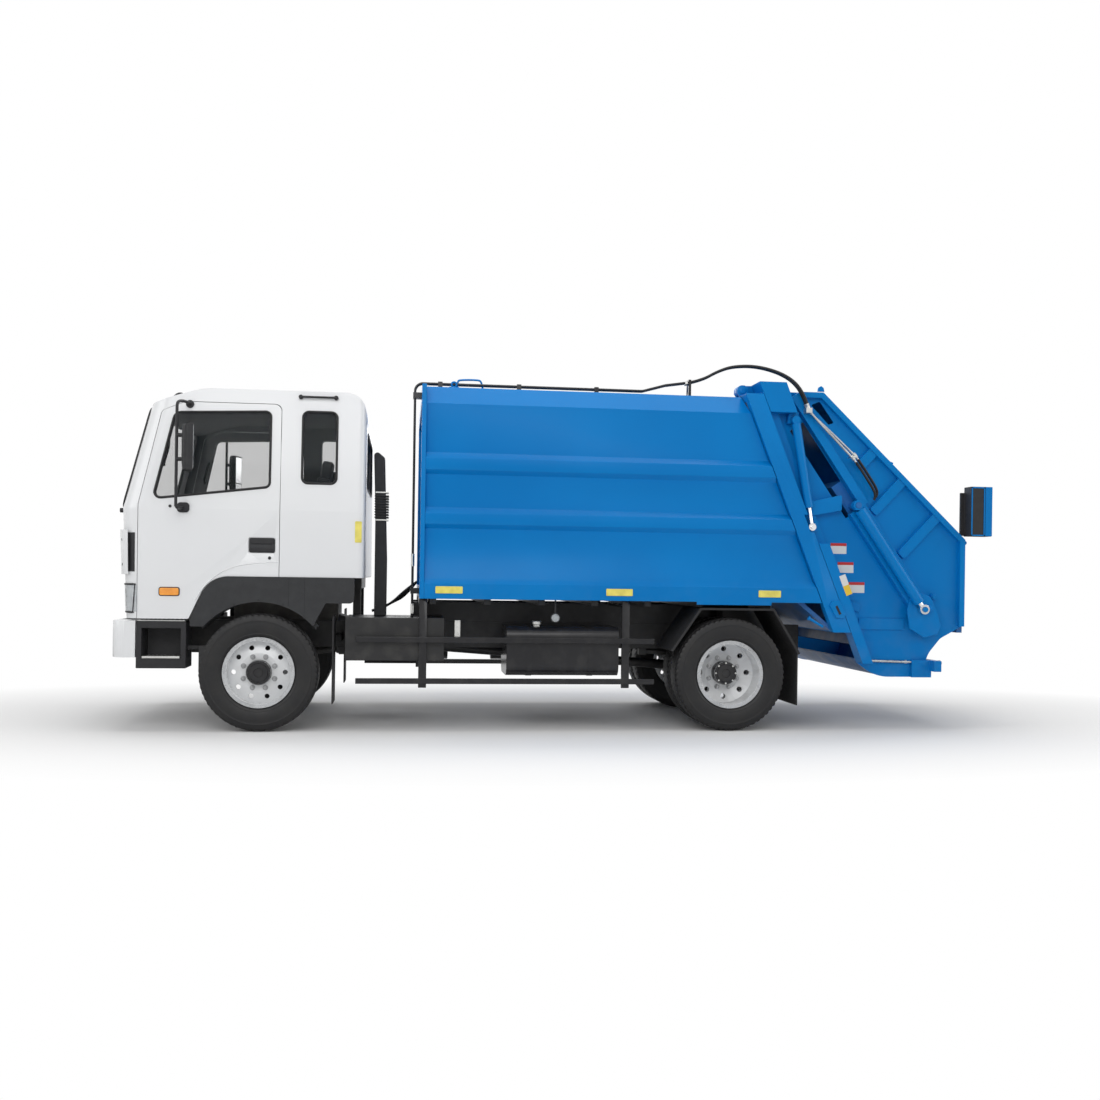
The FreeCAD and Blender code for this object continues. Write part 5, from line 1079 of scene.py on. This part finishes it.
block_piece("duct_bellows", seal_rubber, "chassis", 0.005,
            *(around_duct(1.875 + number * 0.024, 0.013, 0.010, 0.118) for number in range(9)))
block_piece("duct_clamps", zinc, "chassis", 0.002,
            *(around_duct(z, 0.012, 0.006, 0.112) for z in (1.850, 2.100)))
PIPE_X = station(1300)
PIPE_Y = (-0.980, -0.940)
PIPE_LOW = (1.022, 1.062)
bm = bmesh.new()
for y, foot in zip(PIPE_Y, PIPE_LOW):
    for low, high, radius, segments in ((1.455, 1.535, 0.0175, 6), (1.535, 1.550, 0.0150, 20),
                                        (1.440, 1.455, 0.0150, 20), (foot, 1.110, 0.0165, 6)):
        bar(bm, (PIPE_X, y, low), (PIPE_X, y, high), radius, segments=segments)
finished("front_pipe_couplings", bm, zinc, "chassis", 0.001)
for number, (y, foot) in enumerate(zip(PIPE_Y, PIPE_LOW)):
    tube(f"front_pipe_hose_{number}", [
        (PIPE_X, y, foot + 0.01), (PIPE_X, y, foot - 0.09), (station(1296), y + 0.06, 0.945),
        (station(1290), y + 0.20, 0.905 + 0.02 * number), (station(1290), -0.60 + 0.05 * number, 0.900),
        (station(1290), -0.42, 0.885)], 0.0125, seal_rubber, "chassis")
for number in range(3):
    y = -0.30 + number * 0.07
    tube(f"cab_lines_{number}", [
        (station(1348), y, 1.30), (station(1240), y, 1.22 - 0.03 * number), (station(1120), y, 1.10),
        (station(1010), y + 0.01, 1.04), (station(930), y, 1.02)], 0.012, seal_rubber, "chassis")
print("behind the cab done")

# %% [markdown]
# The two hoses that bridge the gap to the tailgate are curves through the same points as in
# the CAD source, turned into meshes. Their ferrules ride with the body at one end and with the
# tailgate at the other; the hoses themselves ride with no body.

# %% Roof hoses
GATE_Y = (-1.185, -1.145)
for number, (y, gate_y) in enumerate(zip(PIPE_Y, GATE_Y)):
    across = gate_y - y
    points = [
        (3795.5, y, 3.1555), (3910, y, 3.185), (4040, y, 3.262), (4190, y, 3.318),
        (4410, y + 0.3 * across, 3.316), (4640, y + 0.7 * across, 3.232), (4775, gate_y, 3.095),
        (4823, gate_y, 2.965)]
    points = [Vector((station(s), side_y, z)) for s, side_y, z in points]
    hose = tube(f"roof_hose_{number}", points, 0.013, seal_rubber, None, rings=16)
    if number == 0:
        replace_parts(hose, "roof_hoses")
    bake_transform(hose)
for name, body, ys, start, end, radius in (
        ("roof_hose_ferrules", "chassis", PIPE_Y, (3740, 3.1405), (3764, 3.147), 0.0165),
        ("gate_hose_ferrules", "tailgate", GATE_Y, (4823.3, 2.962), (4830, 2.941), 0.0185)):
    bm = bmesh.new()
    for y in ys:
        bar(bm, (station(start[0]), y, start[1]), (station(end[0]), y, end[1]), radius, segments=6)
    finished(name, bm, zinc, body, 0.001)
print("hoses done")

# %% [markdown]
# On the load body: three reflectors a side under the lowest rib, a lifting eye and a bent
# rail on the roof, and a row of small bolts along the lower edge of each side.

# %% Body trim
BODY_FACE = 1.192
REFLECTORS = ((1497, 1734, 1.207), (3002, 3240, 1.203), (4392, 4600, 1.206))
for side, word in SIDES:
    for number, (start, end, low) in enumerate(REFLECTORS):
        field_piece(f"body_reflector_{number}_{word}", side, "chassis", reflector_yellow, 0.002,
                    (start, end, low, low + 0.062, 0.008, BODY_FACE - 0.0005, BODY_FACE + 0.0065))
roof_skin = surface_of("body_roof", "body_sides", "body_front")
eye = dropped(roof_skin, (station(1642), -0.985, 3.6), (0, 0, -1))
bm = bmesh.new()
angles = [math.tau * step / 12 for step in range(13)]
ring = [(0.022 + 0.009 * math.cos(angle), 0.009 * math.sin(angle)) for angle in angles]
turned(bm, eye + Vector((0, 0, 0.032)), ring, 36, "Y")
block(bm, eye - Vector((0.045, 0.030, 0.002)), eye + Vector((0.045, 0.030, 0.008)))
finished("roof_eye", bm, blue_paint, "chassis", 0.002)
rail_start = dropped(roof_skin, (station(1672), -0.95, 3.6), (0, 0, -1))
rail_end = dropped(roof_skin, (station(1900), -0.95, 3.6), (0, 0, -1))
tube("roof_grip", [rail_start, rail_start + Vector((0, 0, 0.07)), rail_start + Vector((0.03, 0, 0.082)),
                   rail_end + Vector((-0.05, 0, 0.086)), rail_end + Vector((-0.01, 0, 0.075)), rail_end],
     0.009, blue_paint, "chassis")
bm = bmesh.new()
for side in (LEFT, RIGHT):
    for number in range(10):
        stud(bm, station(1470 + number * 245), 1.176, side, 1.150, 1.1925, 0.0075, segments=6)
finished("sill_bolts", bm, blue_paint, "chassis")
print("body trim done")

# %% [markdown]
# The tailgate is busy. Flat pieces are dropped on whatever panel lies behind them, so each is
# given only by its outline in side view. The labels are blank: a white field and a red band.

# %% Tailgate plates
gate_panels = surface_of("gate_sides", "gate_posts", "guide_beams", "hopper", "gate_cover")
portal_panels = surface_of("rear_portal", "body_sides")


def on_gate(side, distance, z):
    """Distance from the middle of the outermost panel there, and the body it belongs to."""
    found = []
    for tree, body in ((gate_panels, "tailgate"), (portal_panels, "chassis")):
        hit = dropped(tree, (station(distance), side * 1.6, z), (0, -side, 0))
        if hit is not None:
            found.append((abs(hit.y), body))
    return max(found) if found else (1.05, "tailgate")


def gate_plate(name, side, corners, thick, material, bevel=0.001, middle=None):
    """An outline of (distance, height) corners lying on the panel behind its middle."""
    s = sum(corner[0] for corner in corners) / len(corners)
    z = sum(corner[1] for corner in corners) / len(corners)
    if middle:
        face, body = on_gate(side, *middle)
    else:
        places = [(s, z)] + [(0.8 * a + 0.2 * s, 0.8 * b + 0.2 * z) for a, b in corners]
        face, body = max(on_gate(side, a, b * MM) for a, b in places)
    bm = bmesh.new()
    low, high = sorted((side * (face - 0.0005), side * (face + thick)))
    plate(bm, [(station(a), b * MM) for a, b in corners], low, high)
    return finished(name, bm, material, body, bevel)


def strip(start, end, half):
    """Corners of a straight strip between two (distance, height) points."""
    a, b = Vector(start), Vector(end)
    across = (b - a).orthogonal().normalized() * half
    return [tuple(point) for point in (a + across, b + across, b - across, a - across)]


def upright(s, z, height):
    """Corners of a label's field that starts at a distance and a height."""
    return [(s, z), (s + LABEL_LONG, z), (s + LABEL_LONG, z + height), (s, z + height)]


LABELS = ((5115, 1613), (5185, 1439), (5293, 1256))
LABEL_LONG, LABEL_HIGH, LABEL_BAND = 152, 98, 26
LATCH_PLATE = [(5056, 1140), (5085, 1186), (5150, 1186), (5211, 1060), (5190, 1022), (5120, 1030)]
TOP_LUG = [(4965, 3098), (5030, 3098), (5022, 3134), (4998, 3150), (4972, 3134)]
PACKER_FOOT = [(5822, 1100), (5850, 1215), (5950, 1265), (6050, 1225), (6112, 1090), (6150, 960), (6120, 885),
               (5990, 850), (5850, 935)]
KNOBS = ((5273, 1.145, 0.021, 0.040), (6106, 1.228, 0.026, 0.040), (6030, 1.120, 0.030, 0.050),
         (6412, 1.735, 0.019, 0.020))
for side, word in SIDES:
    for number, (s, z) in enumerate(LABELS):
        middle = (s + LABEL_LONG / 2, (z + LABEL_HIGH / 2) * MM)
        gate_plate(f"label_{number}_{word}", side, upright(s, z, LABEL_HIGH), 0.0015, label_white, 0.0)
        band = upright(s, z + LABEL_HIGH - LABEL_BAND, LABEL_BAND)
        gate_plate(f"label_band_{number}_{word}", side, band, 0.0022, label_red, 0.0, middle)
    gate_plate(f"strip_white_{word}", side, strip((5173, 1416), (5209, 1323), 30), 0.002, label_white, 0.0)
    gate_plate(f"strip_yellow_{word}", side, strip((5209, 1323), (5244, 1239), 30), 0.002, label_yellow, 0.0)
    gate_plate(f"latch_plate_{word}", side, LATCH_PLATE, 0.012, blue_paint, 0.002)
    gate_plate(f"latch_slot_{word}", side, strip((5118, 1136), (5156, 1060), 11), 0.0135, dark_plastic, 0.0)
    gate_plate(f"edge_lug_low_{word}", side, strip((5305, 1150), (5403, 1110), 38), 0.014, blue_paint, 0.003)
    for number, (s, z) in enumerate(((5612, 2496), (5668, 2462))):
        gate_plate(f"edge_lug_{number}_{word}", side, [(s - 22, z - 30), (s + 26, z - 46), (s + 34, z + 2),
                                                       (s - 14, z + 20)], 0.016, blue_paint, 0.002,
                   (s - 60, (z - 90) * MM))
    gate_plate(f"top_lug_{word}", side, TOP_LUG, 0.016, blue_paint, 0.002, (4990, 3.085))
    gate_plate(f"gate_band_{word}", side, [(5394, 917), (5830, 917), (5830, 1024), (5394, 1024)], 0.012,
               blue_paint, 0.004)
    gate_plate(f"packer_foot_{word}", side, PACKER_FOOT, 0.018, blue_paint, 0.005)
    bm = bmesh.new()
    for s, z, radius, reach in KNOBS:
        face = on_gate(side, s, z)[0]
        stud(bm, station(s), z, side, face - 0.001, face + reach, radius)
        stud(bm, station(s), z, side, face + reach, face + reach + 0.008, radius * 0.6, segments=6)
    finished(f"gate_knobs_{word}", bm, blue_paint, "tailgate", 0.003)
    face = side * (on_gate(side, 5850, 0.64)[0] - 0.001)
    rail_y = face + side * 0.017
    bm = bmesh.new()
    bar(bm, (station(5480), rail_y, 0.632), (station(6200), rail_y, 0.612), 0.012)
    for s in (5500, 5850, 6180):
        block(bm, (station(s - 12), face, 0.606), (station(s + 12), rail_y, 0.638))
    finished(f"low_rail_{word}", bm, steel_pipe, "tailgate", 0.003)
    bm = bmesh.new()
    bar(bm, (station(4880), side * 1.165, 1.018), (station(5010), side * 1.165, 0.945), 0.012)
    bar(bm, (station(4880), side * 1.165, 1.018), (station(4868), side * 1.165, 1.025), 0.020)
    finished(f"gate_lever_{word}", bm, blue_paint, "chassis", 0.002)
print("gate plates done")

# %% [markdown]
# On the left, steel pipes come down from the roof hoses along the packer's beam, through a
# bright clamp, and continue as black hoses to the packer.

# %% Tailgate pipes
rows = ((1.185, (4842, 2905), (4905, 2830), (5250, 2495), (5300, 2440)),
        (1.145, (4842, 2905), (4915, 2850), (5285, 2525), (5335, 2470)))
for number, (y, *places) in enumerate(rows):
    path = [(station(s), -y, z * MM) for s, z in places]
    tube(f"gate_pipe_{number}", path, 0.0105, steel_pipe, "tailgate")
    s, z = places[-1]
    hose = [(s - 8, z + 8), (s + 40, z - 50), (s + 100, z - 130), (s + 170, z - 225), (s + 205, z - 290),
            (s + 190, z - 330)]
    route = [(station(a), -y + 0.01 * step, b * MM) for step, (a, b) in enumerate(hose)]
    tube(f"packer_hose_{number}", route, 0.0125, seal_rubber, "tailgate")
bm = bmesh.new()
way = Vector((station(5300) - station(5250), 0, -0.055)).normalized()
for y, (s, z) in ((1.185, (5262, 2.484)), (1.145, (5298, 2.512))):
    middle = Vector((station(s), -y, z))
    bar(bm, middle - way * 0.024, middle + way * 0.024, 0.0185, segments=6)
block(bm, (station(5236), -1.205, 2.486), (station(5302), -1.122, 2.500))
finished("gate_pipe_clamp", bm, zinc, "tailgate", 0.002)
print("gate pipes done")

# %% [markdown]
# The lamp boxes stand out on the rear corners: black housings that get a blue rim and a blue
# plate on the outside, and red, amber and white lenses facing backwards.

# %% Rear lamps
CASE_START, CASE_END = station(6401), station(6605)
LENS_SECTION = [(0.0, 0.016), (0.026, 0.0145), (0.040, 0.010), (0.044, 0.003), (0.044, 0.0)]
RING_SECTION = [(0.045, 0.0), (0.045, 0.006), (0.049, 0.008), (0.052, 0.0)]
REAR_LENSES = ((lens_red, 2.150), (lens_amber, 2.035), (lens_white, 1.920), (lens_red, 1.822))
for side, word in SIDES:
    y, far_y = side * 1.1955, side * 1.1955 + side * 0.004
    x_front, x_back = CASE_START + 0.004, CASE_END - 0.068
    block_piece(f"lamp_case_rim_{word}", blue_paint, "tailgate", 0.0015,
                ((x_front, y, 1.796), (CASE_START + 0.016, far_y, 2.248)),
                ((CASE_END - 0.080, y, 1.796), (x_back, far_y, 2.248)),
                ((x_front, y, 1.796), (x_back, far_y, 1.808)), ((x_front, y, 2.236), (x_back, far_y, 2.248)))
    block_piece(f"lamp_case_plate_{word}", blue_paint, "tailgate", 0.003,
                ((CASE_END - 0.064, side * 1.1945, 1.795), (CASE_END + 0.002, side * 1.2015, 2.250)))
    for number, (lens, low) in enumerate(REAR_LENSES):
        centre = Vector((CASE_END, side * 1.1275, low + 0.045))
        turned_piece(f"rear_lens_{number}_{word}", centre, LENS_SECTION, 40, "X", lens, "tailgate")
        turned_piece(f"rear_lens_ring_{number}_{word}", centre, RING_SECTION, 40, "X", dark_plastic,
                     "tailgate")
print("rear lamps done")

# %% [markdown]
# Along the frame: the fuel tank gets a filler cap, the left side a small bracket, and each
# side a round lamp on a mount.

# %% Frame trim
tank_low, tank_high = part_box("fuel_tank")
filler = Vector((tank_low[0] + 0.28, tank_low[1] + 0.16, tank_high[2] - 0.03))
cap = [(0.0, 0.075), (0.040, 0.073), (0.046, 0.066), (0.046, 0.044), (0.036, 0.042), (0.036, 0.0), (0.0, 0.0)]
turned_piece("tank_cap", filler, cap, 40, "Z", zinc, "chassis", 0.001)
block_piece("side_bracket", zinc, "chassis", 0.003,
            ((station(1672), -1.118, 0.826), (station(1722), -1.098, 0.970)),
            ((station(1672), -1.100, 0.955), (station(1722), -1.050, 0.970)))
SIDE_LAMP = [(0.0, 0.026), (0.022, 0.024), (0.034, 0.014), (0.036, 0.0), (0.0, 0.0)]
LAMP_MOUNT = [(0.0, -0.010), (0.044, -0.010), (0.044, 0.006), (0.038, 0.008)]
for side, word in SIDES:
    place = (station(2559), side * 1.135, 1.001)
    dome = [(radius, side * along) for radius, along in SIDE_LAMP]
    turned_piece(f"side_lamp_{word}", place, dome, 36, "Y", lens_clear, "chassis")
    bm = bmesh.new()
    turned(bm, place, [(radius, side * along) for radius, along in LAMP_MOUNT], 36)
    block(bm, (station(2552), side * 1.118, 1.001), (station(2566), side * 1.126, 1.158))
    finished(f"side_lamp_mount_{word}", bm, dark_plastic, "chassis", 0.001)
print("frame trim done")

# %% [markdown]
# The studio is a pale floor under a plain world, with soft lamps. Away from the truck the
# floor turns plain white for the camera only, so the truck's shadow stays. The world is white
# to the camera, in gloss and through glass, and dimmer as a light.

# %% Floor and world
def studio_surface(name, colour):
    """A dull pale surface with a faint drift of shade."""
    finish = Finish(name, colour, 0.9)
    shade = tuple(c * 0.985 for c in colour)
    finish.colour(finish.mix(finish.ramp(finish.noise(0.4, 2), 0.3, 0.7), colour, shade))
    return finish


def studio_plane(name, corners, finish):
    """A flat stage piece that is no part of the truck."""
    bm = bmesh.new()
    bm.faces.new([bm.verts.new(corner) for corner in corners])
    mesh = bpy.data.meshes.new(name)
    bm.to_mesh(mesh)
    bm.free()
    mesh.materials.append(finish.material)
    item = bpy.data.objects.new(name, mesh)
    bpy.context.collection.objects.link(item)
    return item


FLOOR_Z = -0.001
FLOOR_REACH = 60
FLOOR_STRETCH = (0.2, 0.42, 0)
FLOOR_FADE = (0.85, 1.6)
AMBIENT = 0.34
floor = studio_surface("floor_white", (0.86, 0.86, 0.86))
tree = floor.tree
output = next(node for node in tree.nodes if node.type == "OUTPUT_MATERIAL")
distance = floor.node("ShaderNodeVectorMath", operation="LENGTH")
flat_place = floor.node("ShaderNodeVectorMath", operation="MULTIPLY")
flat_place.inputs[1].default_value = FLOOR_STRETCH
floor.link(floor.place.outputs["Object"], flat_place.inputs[0])
floor.link(flat_place.outputs[0], distance.inputs[0])
fade = floor.ramp(distance.outputs["Value"], *FLOOR_FADE)
light_path = floor.node("ShaderNodeLightPath")
bright = floor.node("ShaderNodeEmission")
bright.inputs["Color"].default_value = (1, 1, 1, 1)
blend = floor.node("ShaderNodeMixShader")
floor.link(floor.times(fade, light_path.outputs["Is Camera Ray"]), blend.inputs[0])
floor.link(floor.shader.outputs[0], blend.inputs[1])
floor.link(bright.outputs[0], blend.inputs[2])
floor.link(blend.outputs[0], output.inputs["Surface"])
studio_plane("floor", [(-FLOOR_REACH, -FLOOR_REACH, FLOOR_Z), (FLOOR_REACH, -FLOOR_REACH, FLOOR_Z),
                       (FLOOR_REACH, FLOOR_REACH, FLOOR_Z), (-FLOOR_REACH, FLOOR_REACH, FLOOR_Z)], floor)

world = bpy.data.worlds.new("studio")
bpy.context.scene.world = world
world.use_nodes = True
tree = world.node_tree
background = tree.nodes["Background"]
path = tree.nodes.new("ShaderNodeLightPath")
white_for = path.outputs["Is Camera Ray"]
for ray in ("Is Transmission Ray", "Is Glossy Ray"):
    either = tree.nodes.new("ShaderNodeMath")
    either.operation = "MAXIMUM"
    tree.links.new(white_for, either.inputs[0])
    tree.links.new(path.outputs[ray], either.inputs[1])
    white_for = either.outputs[0]
strength = tree.nodes.new("ShaderNodeMapRange")
strength.inputs["To Min"].default_value = AMBIENT
strength.inputs["To Max"].default_value = 1.0
tree.links.new(white_for, strength.inputs["Value"])
tree.links.new(strength.outputs["Result"], background.inputs["Strength"])
background.inputs["Color"].default_value = (1, 1, 1, 1)


# %% Lamps
def soft_lamp(name, place, target, size, power):
    """An area lamp that looks at a target."""
    data = bpy.data.lights.new(name, "AREA")
    data.shape = "RECTANGLE"
    data.size, data.size_y = size
    data.energy = power
    lamp = bpy.data.objects.new(name, data)
    bpy.context.collection.objects.link(lamp)
    way = (Vector(target) - Vector(place)).to_track_quat("-Z", "Y")
    lamp.matrix_world = Matrix.Translation(place) @ way.to_matrix().to_4x4()
    return lamp


soft_lamp("lamp_side", (-2.5, -9.0, 6.5), (0, 0, 1.2), (9, 5), 330)
soft_lamp("lamp_top", (0.0, 0.0, 8.5), (0, 0, 0), (10, 6), 430)
soft_lamp("lamp_rear", (9.5, -5.0, 4.5), (1, 0, 1.4), (5, 4), 140)
soft_lamp("lamp_front", (-10.0, -4.0, 4.5), (-2, 0, 1.5), (5, 4), 130)
soft_lamp("lamp_far", (1.0, 9.0, 5.0), (0, 0, 1.4), (8, 4), 170)
bpy.context.scene.view_settings.view_transform = "Standard"
print("lamps", len(bpy.data.lights))
